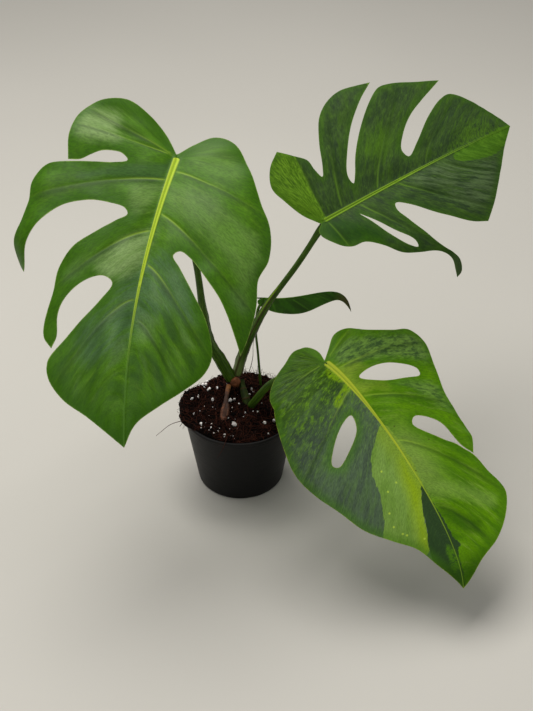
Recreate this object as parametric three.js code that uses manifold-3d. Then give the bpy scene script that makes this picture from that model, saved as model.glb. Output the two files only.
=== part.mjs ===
// A potted climbing house plant with split leaves: a thin nursery pot, coarse soil with pale
// grains, a short stem with an aerial root, and four leaves on stalks.
// Millimetres, +Z up. The origin is the centre of the pot's underside.

import * as THREE from 'three';
import { mergeGeometries, mergeVertices } from 'three/addons/utils/BufferGeometryUtils.js';
import Module from 'manifold-3d';

const wasm = await Module();
wasm.setup();

const vec = (x, y, z) => new THREE.Vector3(x, y, z);

// Driving dimensions

const GAP = 0.3;

const POT = {
  height: 88,
  baseRadius: 46,
  rimRadius: 60,
  wall: 1.4,
  floor: 1.6,
  lipHeight: 4,
  lipReach: 1.6,
  heelRadius: 3,
  drainHoles: 8,
  drainRadius: 4,
  drainRing: 34,
  sides: 40,
};

const SOIL = {
  edgeHeight: 86,
  dome: 3,
  backRise: 9,
  roughness: 1.1,
  spillReach: 6,
  spillHeight: 3.5,
  spillDirection: Math.PI,
  spillSpread: 0.8,
  sides: 36,
  rings: 7,
};

// The largest pale grains, as x, y and radius, and the number of smaller ones strewn round them.
const BIG_GRAINS = [
  [-5, -26, 3.2], [-10, 14, 3], [-29, 15, 3.2], [-40, -24, 3], [26, -21, 2.8], [36, -19, 3],
  [-44, 44, 2.8], [-33, 47, 3], [13, 29, 2.6], [-25, 30, 2.6], [-50, 17, 2.6], [-35, 33, 2.4],
];
const SMALL_GRAINS = 12;

const STEM = {
  path: [vec(17, -6, 42), vec(13, -2, 66), vec(9, 3, 85), vec(5, 14, 95), vec(1, 27, 104)],
  radius: 4.4,
  knob: vec(-5, 22.5, 105),
  knobRadius: 4.8,
};

const AERIAL_ROOT = {
  path: [vec(-18, -20, 62), vec(-17, -18, 84), vec(-15, -9, 93), vec(-14, 5, 99), vec(-12, 19, 103)],
  topRadius: 2.8,
  footRadius: 4.2,
};

const BLADE = 0.9;
const RIB_DEPTH = 2.6;
const RIB_HALF_WIDTH = 3;
const LEAF_GRID = 14;
const EDGE_STEP = 8;
const RIB_STEP = 11;
const STALK_STEP = 12;
const STALK_SIDES = 12;

// Each leaf is drawn flat first: x across the blade, y along the midrib from the notch where the
// stalk joins to the tip. The outline runs round the blade from the notch, with a sharp corner
// between one run and the next. It is then bent onto its midrib. A bend row holds the place
// along the midrib, how far the blade rises beside the midrib in degrees, the downward curvature
// there, the distance to where the curvature changes, and the curvature beyond it, both in
// thousandths per millimetre. A droop row lowers one finger on a side, between two vein shares,
// by its depth at 60 mm beyond its start.

const LEFT_LEAF = {
  midrib: [vec(-53, 0, 378), vec(-77, -70, 337), vec(-98, -136, 272), vec(-94, -202, 205)],
  up: [vec(0.1, 0, 1), vec(0, 0, 1)],
  lobeBend: -0.003,
  bend: {
    right: [[-80, 26, 2, 66, 15], [0, 20, 2, 84, 20], [45, 16, 3, 94, 18], [90, 14, 3, 92, 16],
      [130, 12, 4, 78, 22], [190, 10, 5, 74, 12], [280, 6, 5, 80, 8]],
    left: [[-40, 14, 8, 60, 10], [60, 14, 6, 66, 11], [150, 12, 5, 66, 13], [230, 8, 6, 56, 13],
      [300, 4, 6, 60, 8]],
  },
  droop: [['right', 0.17, 0.33, 50, 3]],
  outline: [
    [[2, -3], [18, -19], [38, -31], [61, -38], [84, -28], [98, -8], [100, 10], [93, 31.7]],
    [[93, 31.7], [82, 29.3], [74, 23.5], [66, 18], [57, 15.3], [48, 14.7], [41, 19], [52, 24.6],
      [68, 28.3], [82, 31], [98, 34.5], [109, 37.5], [117, 43], [123, 55], [120, 72],
      [124, 90], [132, 107], [129, 119], [117, 127]],
    [[117, 127], [113, 106], [100, 86], [84, 71], [64, 63], [44, 61], [30, 62], [26, 67], [34, 75],
      [50, 89], [66, 105], [75, 124], [76, 146], [80, 168], [78, 181], [69, 190]],
    [[69, 190], [66, 180], [68, 163], [63, 147], [48, 131], [33, 125], [24, 130], [32, 147],
      [44, 164], [58, 183], [70, 202], [68, 215], [54, 231], [32, 245], [14, 259], [0, 271]],
    [[0, 271], [-10, 251], [-30, 235], [-50, 220], [-67, 203], [-73, 185], [-65, 154], [-48, 127],
      [-33, 107], [-25, 97], [-30, 92], [-41, 97], [-58, 113], [-74, 131], [-87, 154], [-99, 180]],
    [[-99, 180], [-105, 155], [-107, 127], [-104, 101], [-109, 78], [-104, 50], [-86, 22], [-66, -7],
      [-48, -25], [-28, -27], [-11, -15], [2, -3]],
  ],
  holes: [],
};

const UPPER_LEAF = {
  midrib: [vec(82, 7, 308), vec(159, 47, 334), vec(218, 78, 352), vec(273, 123, 352)],
  up: [vec(0, -0.65, 0.75), vec(0, -0.65, 0.75)],
  lobeBend: 0.002,
  bend: {
    right: [[-30, 22, 9, 22, 26], [40, 20, 8, 44, 22], [90, 14, 7, 60, 18], [140, 8, 6, 66, 12],
      [240, 4, 6, 80, 8]],
    left: [[-60, 10, 2, 60, 8], [0, 10, 2, 70, 6], [100, 8, 2, 80, 6], [200, 6, 3, 80, 6],
      [260, 4, 3, 80, 6]],
  },
  droop: [['right', -1, 0.2, 94, 80]],
  outline: [
    [[1, -3], [8, -10], [18, -9], [31, -1], [38, 9], [40, 21], [52, 35], [66, 48], [74, 65],
      [78, 77], [83, 86], [93, 97], [103, 104], [109, 109]],
    [[109, 109], [105, 114], [97, 110], [88, 99], [80, 90], [70, 84], [59, 79], [42, 71],
      [27, 66], [20, 69], [27, 79], [43, 95], [58, 112], [70, 129], [77, 145]],
    [[77, 145], [64, 160], [40, 184], [17, 207], [0, 229]],
    [[0, 229], [-20, 217], [-43, 201], [-56, 187], [-55, 174], [-43, 149], [-26, 125], [-16, 108],
      [-24, 105], [-38, 115], [-52, 133], [-62, 155], [-74, 186]],
    [[-74, 186], [-84, 158], [-92, 135], [-93, 122], [-82, 103], [-62, 80], [-42, 62], [-25, 51],
      [-18, 45], [-27, 44], [-46, 55], [-70, 75], [-90, 99], [-102, 118]],
    [[-102, 118], [-108, 88], [-104, 69], [-92, 52], [-68, 37], [-46, 27], [-38, 22], [-48, 19],
      [-59, 18], [-70, 8], [-81, -3]],
    [[-81, -3], [-70, -17], [-52, -26], [-34, -22], [-14, -14], [1, -3]],
  ],
  holes: [
    [[12, 33], [28, 43], [46, 54], [61, 65], [68, 65], [61, 56], [43, 45], [22, 37]],
  ],
};

const LOWER_LEAF = {
  midrib: [vec(85, -48, 182), vec(119, -76, 177), vec(210, -180, 86), vec(209, -221, 52)],
  up: [vec(0, -0.2, 1), vec(0, -0.1, 1)],
  lobeBend: 0.002,
  bend: {
    right: [[-60, 8, 4, 60, 12], [40, 8, 4, 60, 14], [100, 8, 5, 60, 14], [180, 6, 5, 70, 10],
      [260, 4, 6, 80, 8]],
    left: [[-60, 10, 4, 60, 14], [0, 10, 3, 80, 10], [100, 8, 2, 90, 10], [200, 6, 3, 80, 8],
      [260, 4, 3, 80, 6]],
  },
  droop: [['left', -1, 0.21, 55, 8]],
  outline: [
    [[-2, -2], [-7, -14], [-4, -28], [8, -33], [28, -28], [52, -22], [70, -12], [81, 9], [93, 40],
      [101, 75], [97, 105], [85, 135], [72, 165], [52, 188], [34, 205], [20, 228], [0, 254]],
    [[0, 254], [-22, 233], [-45, 220], [-64, 204], [-75, 189], [-74, 180], [-68.5, 166], [-63, 148.5],
      [-57.5, 140.5], [-52.5, 133], [-45, 125.5], [-34, 111.5], [-26, 98], [-32, 93], [-42, 98],
      [-50, 107], [-53.5, 117], [-55, 127], [-57, 136.5], [-64, 148]],
    [[-64, 148], [-71, 138], [-75.5, 127], [-75, 110], [-77, 90], [-88, 63], [-101, 38],
      [-99, 23], [-79, 16], [-57, 3], [-49, -9], [-33, -14], [-14, -7], [-2, -2]],
  ],
  holes: [
    [[-13, 33], [-30, 32], [-50, 40], [-68, 57], [-66, 63], [-47, 57], [-27, 47]],
    [[21, 60], [33, 62], [52, 74], [67, 92], [63, 97], [44, 88], [26, 74]],
  ],
};

const YOUNG_LEAF = {
  midrib: [vec(25, 54, 191), vec(75, 54, 184), vec(108, 54, 222), vec(116, 44, 179)],
  up: [vec(0, 0, 1), vec(0.3, 0, 1)],
  lobeBend: 0.01,
  bend: {
    right: [[-20, -4, 6, 20, 10], [60, -6, 8, 20, 14], [110, -20, 12, 20, 14]],
    left: [[-20, -38, 4, 20, 6], [60, -40, 4, 20, 8], [110, -30, 10, 20, 14]],
  },
  droop: [],
  outline: [
    [[1, -1], [5, -6], [12, -5], [18, 4], [23, 20], [25, 40], [19, 62], [8, 85], [0, 104]],
    [[0, 104], [-8, 86], [-15, 64], [-20, 42], [-21, 20], [-18, 4], [-12, -6], [-5, -7], [1, -1]],
  ],
  holes: [],
};

// A stalk's sheath is a pair of wings along its lower part: their height, and the share of the
// length that they reach.
const LEFT_STALK = {
  path: [vec(-10, 27, 106), vec(-21, 24, 132), vec(-32, 22, 158), vec(-36, 18, 196), vec(-40, 12, 252),
    vec(-50, 4, 325)],
  footRadius: 5.3,
  topRadius: 3.1,
  wing: 0.45,
  wingReach: 0.45,
};
const UPPER_STALK = {
  path: [vec(-3, 31, 110), vec(4, 28, 139), vec(15, 24, 171), vec(30, 20, 206), vec(60, 13, 260)],
  footRadius: 4.6,
  topRadius: 2.9,
  wing: 0.4,
  wingReach: 0.6,
};
const LOWER_STALK = {
  path: [vec(11, 4, 87), vec(18, -4, 104), vec(32, -17, 133), vec(56, -33, 161)],
  footRadius: 3.9,
  topRadius: 3,
  wing: 0.3,
  wingReach: 0.5,
};
const YOUNG_STALK = {
  path: [vec(23, 31, 60), vec(22, 32, 90), vec(19, 35, 135), vec(17, 42, 160), vec(20, 51, 181)],
  footRadius: 2,
  topRadius: 1.6,
  wing: 0,
  wingReach: 0.5,
};

// Numbers and solids

function mix(a, b, t) {
  return a + (b - a) * t;
}

function smoothstep(t) {
  const clamped = Math.min(1, Math.max(0, t));
  return clamped * clamped * (3 - 2 * clamped);
}

// A repeatable stream of draws between 0 and 1.
function draws(seed) {
  let state = seed;
  return () => {
    state = (state * 1664525 + 1013904223) % 4294967296;
    return state / 4294967296;
  };
}

function toSolid(geometry) {
  const bare = geometry.clone();
  bare.deleteAttribute('normal');
  bare.deleteAttribute('uv');
  const merged = mergeVertices(bare, 1e-4);
  return new wasm.Manifold(new wasm.Mesh({
    numProp: 3,
    vertProperties: new Float32Array(merged.attributes.position.array),
    triVerts: new Uint32Array(merged.index.array),
  }));
}

function toGeometry(solid) {
  const mesh = solid.getMesh();
  const geometry = new THREE.BufferGeometry();
  geometry.setAttribute('position', new THREE.BufferAttribute(new Float32Array(mesh.vertProperties), 3));
  geometry.setIndex(new THREE.BufferAttribute(new Uint32Array(mesh.triVerts), 1));
  return geometry;
}

function largestBody(solid) {
  return solid.decompose().sort((a, b) => b.volume() - a.volume())[0];
}

function geometryFrom(points, faces) {
  const geometry = new THREE.BufferGeometry();
  geometry.setFromPoints(points);
  geometry.setIndex(faces.flat());
  return geometry;
}

// A closed tube of stacked rings of points, each ring counter-clockwise seen from the far end.
function loft(rings) {
  const count = rings[0].length;
  const points = [...rings.flat(), centreOf(rings[0]), centreOf(rings[rings.length - 1])];
  const faces = [];
  for (let i = 0; i < rings.length - 1; i++) {
    for (let k = 0; k < count; k++) {
      const next = (k + 1) % count;
      const a = i * count + k;
      const b = i * count + next;
      faces.push([a, b, b + count], [a, b + count, a + count]);
    }
  }
  const last = (rings.length - 1) * count;
  for (let k = 0; k < count; k++) {
    const next = (k + 1) % count;
    faces.push([points.length - 2, next, k]);
    faces.push([points.length - 1, last + k, last + next]);
  }
  return geometryFrom(points, faces);
}

function centreOf(ring) {
  const centre = new THREE.Vector3();
  ring.forEach((point) => centre.add(point));
  return centre.divideScalar(ring.length);
}

// Rings across a curve, each drawn by a section that gives the radius at an angle.
function sweep(path, steps, sides, section) {
  const curve = new THREE.CatmullRomCurve3(path);
  const frames = curve.computeFrenetFrames(steps);
  const rings = [];
  for (let i = 0; i <= steps; i++) {
    const share = i / steps;
    const centre = curve.getPointAt(share);
    const ring = [];
    for (let k = 0; k < sides; k++) {
      const angle = (2 * Math.PI * k) / sides;
      const reach = section(share, angle);
      ring.push(centre.clone()
        .addScaledVector(frames.normals[i], Math.cos(angle) * reach)
        .addScaledVector(frames.binormals[i], Math.sin(angle) * reach));
    }
    rings.push(ring);
  }
  return loft(rings);
}

// Pot

function pot() {
  const { height, baseRadius, rimRadius, wall, floor, lipHeight, lipReach, heelRadius } = POT;
  const wallTop = rimRadius - lipReach;
  const profile = [
    [0, 0],
    [baseRadius - heelRadius, 0],
    [baseRadius - heelRadius * 0.3, heelRadius * 0.3],
    [baseRadius, heelRadius],
    [wallTop, height - lipHeight],
    [rimRadius, height - lipHeight + 0.5],
    [rimRadius, height - 0.8],
    [rimRadius - 0.8, height],
    [wallTop - wall, height],
    [baseRadius - wall, floor],
    [0, floor],
  ].map(([r, z]) => new THREE.Vector2(r, z));
  const shell = new THREE.LatheGeometry(profile, POT.sides).rotateX(Math.PI / 2).scale(1, -1, 1);
  flipFaces(shell);
  let solid = toSolid(shell);
  for (let i = 0; i < POT.drainHoles; i++) {
    const angle = (2 * Math.PI * i) / POT.drainHoles;
    const drill = new THREE.CylinderGeometry(POT.drainRadius, POT.drainRadius, 4 * floor, 12);
    drill.rotateX(Math.PI / 2);
    drill.translate(POT.drainRing * Math.cos(angle), POT.drainRing * Math.sin(angle), 0);
    solid = solid.subtract(toSolid(drill));
  }
  return solid;
}

function flipFaces(geometry) {
  const index = geometry.index.array;
  for (let i = 0; i < index.length; i += 3) {
    [index[i], index[i + 1]] = [index[i + 1], index[i]];
  }
}

// Soil, with its pale grains fused in

// The pot's inside radius at a height, less the gap.
function innerRadius(z) {
  const top = POT.rimRadius - POT.lipReach - POT.wall;
  const share = (z - POT.floor) / (POT.height - POT.floor);
  return mix(POT.baseRadius - POT.wall, top, Math.min(1, share)) - GAP;
}

function soilHeight(x, y) {
  const inner = innerRadius(POT.height);
  const share = Math.hypot(x, y) / inner;
  const bumps = Math.sin(0.21 * x + 1.3) * Math.cos(0.17 * y - 0.4) + 0.6 * Math.sin(0.43 * y + 0.37 * x);
  const back = SOIL.backRise * smoothstep(y / inner);
  return SOIL.edgeHeight + SOIL.dome * (1 - share * share) + back + SOIL.roughness * bumps;
}

function soilRings() {
  const innerTop = innerRadius(POT.height);
  const innerBase = innerRadius(POT.floor);
  const lipTop = POT.height + GAP;
  const rings = Array.from({ length: 5 + SOIL.rings }, () => []);
  for (let k = 0; k < SOIL.sides; k++) {
    const angle = (2 * Math.PI * k) / SOIL.sides;
    const away = Math.abs(((angle - SOIL.spillDirection + 3 * Math.PI) % (2 * Math.PI)) - Math.PI);
    const spill = Math.exp(-((away / SOIL.spillSpread) ** 2));
    const raised = smoothstep(spill / 0.3);
    const reached = smoothstep((spill - 0.3) / 0.5);
    const at = (r, z) => vec(r * Math.cos(angle), r * Math.sin(angle), z);
    const x = innerTop * Math.cos(angle);
    const y = innerTop * Math.sin(angle);
    const low = Math.min(soilHeight(x, y) - 2, lipTop);
    const shoulder = mix(low, lipTop, raised);
    const rim = mix(innerRadius(shoulder) - 0.4, POT.rimRadius + SOIL.spillReach, reached);
    const crest = mix(soilHeight(x, y), lipTop + SOIL.spillHeight, raised);
    rings[0].push(at(innerBase * 0.5, POT.floor + GAP));
    rings[1].push(at(innerBase, POT.floor + GAP));
    rings[2].push(at(innerRadius(shoulder - 4), shoulder - 4));
    rings[3].push(at(innerRadius(shoulder), shoulder));
    rings[4].push(at(rim, mix(shoulder + 0.4, lipTop + 0.1, raised)));
    for (let i = 0; i < SOIL.rings; i++) {
      const inward = (i + 0.6) / SOIL.rings;
      const r = rim * (1 - inward * 0.97) - 0.3;
      const level = soilHeight(r * Math.cos(angle), r * Math.sin(angle));
      rings[5 + i].push(at(r, mix(crest, level, smoothstep(inward * 3 + 0.15))));
    }
  }
  return rings;
}

function grain(x, y, radius, random) {
  const stone = new THREE.IcosahedronGeometry(radius, 0);
  stone.scale(1, mix(0.7, 1, random()), mix(0.7, 1, random()));
  stone.rotateX(random() * 3);
  stone.rotateZ(random() * 6);
  stone.translate(x, y, soilHeight(x, y) + radius * 0.15);
  return toSolid(stone);
}

function soil() {
  const random = draws(7);
  let solid = toSolid(loft(soilRings()));
  for (const [x, y, radius] of BIG_GRAINS) {
    solid = solid.add(grain(x, y, radius, random));
  }
  for (let i = 0; i < SMALL_GRAINS; i++) {
    const angle = random() * 2 * Math.PI;
    const r = 50 * Math.sqrt(random());
    solid = solid.add(grain(r * Math.cos(angle), r * Math.sin(angle), mix(1.2, 2, random()), random));
  }
  return solid;
}

// Stem and aerial root; swell makes them that much thicker, for the room that they leave

function stem(swell = 0) {
  const swelling = (share) => STEM.radius * (0.85 + 0.15 * Math.cos(share * 17));
  const shaft = sweep(STEM.path, 13, 12, (share) => swelling(share) + swell);
  const knob = new THREE.SphereGeometry(STEM.knobRadius + swell, 12, 8);
  knob.translate(...STEM.knob.toArray());
  return toSolid(shaft).add(toSolid(knob));
}

function aerialRoot(swell = 0) {
  const { path, topRadius, footRadius } = AERIAL_ROOT;
  const section = (share) => mix(footRadius, topRadius, share) + 0.4 * Math.sin(share * 14) + swell;
  return toSolid(sweep(path, 12, 10, section));
}

// Stalks

function stalk(shape, seat, swell = 0) {
  const section = (share, angle) => {
    const radius = mix(shape.footRadius, shape.topRadius, smoothstep(share * 1.6));
    const height = shape.wing * smoothstep((shape.wingReach - share) / 0.2) * radius;
    const wings = Math.exp(-(((Math.abs(Math.PI - angle) - 1.1) / 0.35) ** 2));
    return radius + height * wings + swell;
  };
  const path = [...shape.path, seat];
  const steps = Math.ceil(new THREE.CatmullRomCurve3(path).getLength() / STALK_STEP);
  return toSolid(sweep(path, steps, STALK_SIDES, section));
}

// Leaf surface

function stationAt(rows, y) {
  const last = rows.length - 1;
  if (y <= rows[0][0]) return rows[0].slice(1);
  if (y >= rows[last][0]) return rows[last].slice(1);
  const i = rows.findIndex((row) => row[0] > y) - 1;
  const t = smoothstep((y - rows[i][0]) / (rows[i + 1][0] - rows[i][0]));
  return rows[i].slice(1).map((value, k) => mix(value, rows[i + 1][k + 1], t));
}

// The side veins fan from straight across at the notch to well forward at the tip. The share is
// where the vein through a point leaves the midrib; it is below zero in the lobes behind the notch.
const veinAngle = (share) => THREE.MathUtils.degToRad(22 + 66 * Math.exp(-share / 0.19));

function veinShare(x, y, length) {
  const across = Math.abs(x);
  const turn = Math.atan2(across, y);
  if (turn >= veinAngle(0)) return -(turn - veinAngle(0)) / Math.PI;
  let low = 0;
  let high = 1.5;
  for (let i = 0; i < 40; i++) {
    const share = (low + high) / 2;
    const angle = veinAngle(share);
    if ((y - share * length) * Math.sin(angle) > across * Math.cos(angle)) low = share;
    else high = share;
  }
  return low;
}

class LeafSurface {
  constructor(leaf) {
    this.leaf = leaf;
    this.curve = new THREE.CubicBezierCurve3(...leaf.midrib);
    this.curve.arcLengthDivisions = 400;
    this.length = this.curve.getLength();
  }

  // The midrib's point, direction and upward normal at y; behind the notch it runs on as an arc.
  frame(y) {
    const share = Math.min(1, Math.max(0, y / this.length));
    const point = this.curve.getPointAt(share);
    const along = this.curve.getTangentAt(share);
    const up = this.leaf.up[0].clone().lerp(this.leaf.up[1], this.curve.getUtoTmapping(share));
    up.addScaledVector(along, -up.dot(along)).normalize();
    if (y < 0) {
      const turn = -y * this.leaf.lobeBend;
      point.addScaledVector(along, -Math.sin(turn) / this.leaf.lobeBend);
      point.addScaledVector(up, -(1 - Math.cos(turn)) / this.leaf.lobeBend);
      const oldAlong = along.clone();
      along.multiplyScalar(Math.cos(turn)).addScaledVector(up, Math.sin(turn));
      up.multiplyScalar(Math.cos(turn)).addScaledVector(oldAlong, -Math.sin(turn));
    }
    if (y > this.length) point.addScaledVector(along, y - this.length);
    return { point, up, across: along.clone().cross(up) };
  }

  // How far a finger's own droop lowers a point.
  drop(x, y) {
    const side = x >= 0 ? 'right' : 'left';
    const share = veinShare(x, y, this.length);
    let drop = 0;
    for (const [where, low, high, start, depth] of this.leaf.droop) {
      if (where !== side) continue;
      const inside = smoothstep((share - low) / 0.03 + 0.5) * smoothstep((high - share) / 0.03 + 0.5);
      const beyond = Math.max(0, Math.hypot(x, y - Math.max(0, share) * this.length) - start) / 60;
      drop += inside * depth * beyond * beyond;
    }
    return drop;
  }

  at(x, y) {
    const { point, up, across } = this.frame(y);
    const rows = x >= 0 ? this.leaf.bend.right : this.leaf.bend.left;
    const [tilt, curl, change, farCurl] = stationAt(rows, y);
    const reach = Math.abs(x);
    let turn = -THREE.MathUtils.degToRad(tilt);
    let out = 0;
    let rise = 0;
    const legs = [[curl / 1000, Math.min(reach, change)], [farCurl / 1000, Math.max(0, reach - change)]];
    for (const [bend, length] of legs) {
      const end = turn + bend * length;
      out += (Math.sin(end) - Math.sin(turn)) / bend;
      rise += (Math.cos(end) - Math.cos(turn)) / bend;
      turn = end;
    }
    return point
      .addScaledVector(across, Math.sign(x) * out)
      .addScaledVector(up, rise - this.drop(x, y));
  }

  normal(x, y) {
    const step = 0.5;
    const side = x >= 0 ? 1 : -1;
    const across = this.at(x + side * step, y).sub(this.at(x, y)).multiplyScalar(side);
    const along = this.at(x, y + step).sub(this.at(x, y - step));
    const normal = across.cross(along).normalize();
    if (Math.abs(x) > step) return normal;
    return this.frame(y).up;
  }
}

// A leaf's flat pattern

function flatLine(points, closed) {
  const line = points.map(([x, y]) => vec(x, y, 0));
  return new THREE.CatmullRomCurve3(line, closed, 'centripetal');
}

function samples(curve) {
  const count = Math.max(2, Math.ceil(curve.getLength() / EDGE_STEP));
  return curve.getSpacedPoints(count).slice(0, -1).map((p) => new THREE.Vector2(p.x, p.y));
}

function segmentDistance(point, a, b) {
  const span = b.clone().sub(a);
  const share = Math.min(1, Math.max(0, point.clone().sub(a).dot(span) / span.lengthSq()));
  return point.distanceTo(a.clone().addScaledVector(span, share));
}

function edgeDistance(point, loop) {
  return Math.min(...loop.map((a, i) => segmentDistance(point, a, loop[(i + 1) % loop.length])));
}

function insideLoop(point, loop) {
  let inside = false;
  loop.forEach((a, i) => {
    const b = loop[(i + 1) % loop.length];
    if ((a.y > point.y) === (b.y > point.y)) return;
    if (point.x < a.x + ((point.y - a.y) / (b.y - a.y)) * (b.x - a.x)) inside = !inside;
  });
  return inside;
}

function innerPoints(loops, length) {
  const points = [];
  const add = (x, y, margin) => {
    const point = new THREE.Vector2(x, y);
    const clear = loops.every((loop) => edgeDistance(point, loop) > margin);
    if (clear && loops.filter((loop) => insideLoop(point, loop)).length === 1) points.push(point);
  };
  for (let y = 2; y < length - 3; y += RIB_STEP) {
    for (const x of [-RIB_HALF_WIDTH, 0, RIB_HALF_WIDTH]) add(x, y, x === 0 ? 0.8 : 1.6);
  }
  const rowHeight = LEAF_GRID * Math.sqrt(0.75);
  for (let row = -6; row * rowHeight < length; row++) {
    const y = row * rowHeight + 0.37;
    for (let column = -13; column <= 13; column++) {
      const x = (column + (row % 2 ? 0.5 : 0)) * LEAF_GRID + 0.13;
      if (Math.abs(x) > RIB_HALF_WIDTH + 3 || y < -4) add(x, y, LEAF_GRID * 0.42);
    }
  }
  return points;
}

// Triangles that hold every edge of the outline: cut into ears first, then each inner point
// splits the triangle round it, and edges are swapped until none lies in a neighbour's circle.
function triangulate(loops, inner) {
  const points = [...loops.flat(), ...inner];
  const faces = THREE.ShapeUtils.triangulateShape(loops[0], loops.slice(1))
    .map(([a, b, c]) => (turnArea(points, a, b, c) > 0 ? [a, b, c] : [a, c, b]));
  for (let p = points.length - inner.length; p < points.length; p++) {
    const home = faces.findIndex(([a, b, c]) => turnArea(points, a, b, p) > 1e-7
      && turnArea(points, b, c, p) > 1e-7 && turnArea(points, c, a, p) > 1e-7);
    if (home < 0) continue;
    const [a, b, c] = faces[home];
    faces.splice(home, 1, [a, b, p], [b, c, p], [c, a, p]);
  }
  let swapped = true;
  for (let round = 0; swapped && round < 200; round++) swapped = swapEdges(points, faces);
  return { points, faces };
}

function turnArea(points, a, b, c) {
  const [p, q, r] = [points[a], points[b], points[c]];
  return (q.x - p.x) * (r.y - p.y) - (q.y - p.y) * (r.x - p.x);
}

function inCircle(points, a, b, c, d) {
  const rows = [a, b, c].map((i) => [points[i].x - points[d].x, points[i].y - points[d].y]);
  const [[ax, ay], [bx, by], [cx, cy]] = rows;
  const size = (x, y) => x * x + y * y;
  return size(ax, ay) * (bx * cy - cx * by) - size(bx, by) * (ax * cy - cx * ay)
    + size(cx, cy) * (ax * by - bx * ay) > 1e-6;
}

function swapEdges(points, faces) {
  const owner = new Map();
  const touched = new Set();
  let swapped = false;
  faces.forEach((face, f) => {
    for (let k = 0; k < 3; k++) owner.set(`${face[k]} ${face[(k + 1) % 3]}`, f);
  });
  for (const [key, f] of owner) {
    const [a, b] = key.split(' ').map(Number);
    const g = owner.get(`${b} ${a}`);
    if (g === undefined || touched.has(f) || touched.has(g)) continue;
    const c = faces[f].find((i) => i !== a && i !== b);
    const d = faces[g].find((i) => i !== a && i !== b);
    if (turnArea(points, a, d, c) <= 1e-7 || turnArea(points, d, b, c) <= 1e-7) continue;
    if (!inCircle(points, a, b, c, d)) continue;
    faces[f] = [a, d, c];
    faces[g] = [d, b, c];
    touched.add(f);
    touched.add(g);
    swapped = true;
  }
  return swapped;
}

// A leaf: the flat pattern bent onto its surface, with an upper and a lower face and a rib below

function leafPattern(leaf, surface) {
  const outline = leaf.outline.flatMap((run) => samples(flatLine(run, false)));
  const holes = leaf.holes.map((hole) => samples(flatLine(hole, true)));
  return triangulate([outline, ...holes], innerPoints([outline, ...holes], surface.length));
}

function leafBlade(leaf, swell = 0) {
  const surface = new LeafSurface(leaf);
  const { points, faces } = leafPattern(leaf, surface);
  const half = BLADE / 2 + swell;
  const upper = [];
  const lower = [];
  for (const { x, y } of points) {
    const middle = surface.at(x, y);
    const normal = surface.normal(x, y);
    const rib = Math.max(0, 1 - Math.abs(x) / RIB_HALF_WIDTH) * smoothstep((y + 4) / 6);
    const depth = RIB_DEPTH * rib * Math.max(0, 1 - y / surface.length);
    upper.push(middle.clone().addScaledVector(normal, half));
    lower.push(middle.clone().addScaledVector(normal, -half - depth));
  }
  const count = points.length;
  const edges = new Set();
  faces.forEach((face) => face.forEach((a, k) => edges.add(`${a} ${face[(k + 1) % 3]}`)));
  const shell = faces.flatMap(([a, b, c]) => [[a, b, c], [c + count, b + count, a + count]]);
  for (const key of edges) {
    const [a, b] = key.split(' ').map(Number);
    if (!edges.has(`${b} ${a}`)) shell.push([a, a + count, b + count], [a, b + count, b]);
  }
  return toSolid(geometryFrom([...upper, ...lower], shell));
}

// Where a stalk meets its leaf, inside the blade just in front of the notch.
function seatOf(leaf) {
  return new LeafSurface(leaf).at(0.001, 3);
}

// Assembly

const leaves = { left: LEFT_LEAF, upper: UPPER_LEAF, lower: LOWER_LEAF, young: YOUNG_LEAF };
const stalks = { left: LEFT_STALK, upper: UPPER_STALK, lower: LOWER_STALK, young: YOUNG_STALK };

function pieces() {
  const solids = { pot: pot(), stem: stem(), aerial_root: aerialRoot().subtract(stem(GAP)) };
  const room = [stem(GAP), aerialRoot(GAP)];
  for (const [name, shape] of Object.entries(stalks)) {
    let solid = stalk(shape, seatOf(leaves[name])).subtract(leafBlade(leaves[name], GAP));
    for (const taken of room) solid = solid.subtract(taken);
    solids[`stalk_${name}`] = largestBody(solid);
    room.push(stalk(shape, seatOf(leaves[name]), GAP));
  }
  let ground = soil();
  for (const taken of room) ground = ground.subtract(taken);
  solids.soil = largestBody(ground);
  for (const [name, leaf] of Object.entries(leaves)) solids[`leaf_${name}`] = leafBlade(leaf);
  return solids;
}

const finish = (color, roughness) => new THREE.MeshStandardMaterial({ color, roughness, metalness: 0 });

const finishes = {
  pot: finish(0x0b0b0c, 0.45),
  soil: finish(0x2a1610, 0.95),
  stem: finish(0x5a5a2c, 0.6),
  aerial_root: finish(0x7a5230, 0.8),
  stalk: finish(0x4a6a22, 0.45),
  leaf: finish(0x3f7a1c, 0.35),
};

const plant = new THREE.Group();
for (const [name, solid] of Object.entries(pieces())) {
  const mesh = new THREE.Mesh(toGeometry(solid), finishes[name] ?? finishes[name.split('_')[0]]);
  mesh.name = name;
  plant.add(mesh);
}

export default plant;
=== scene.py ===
import math
from functools import reduce

import bpy
import numpy as np
from mathutils import Matrix, Vector, noise
from mathutils.geometry import delaunay_2d_cdt


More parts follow.
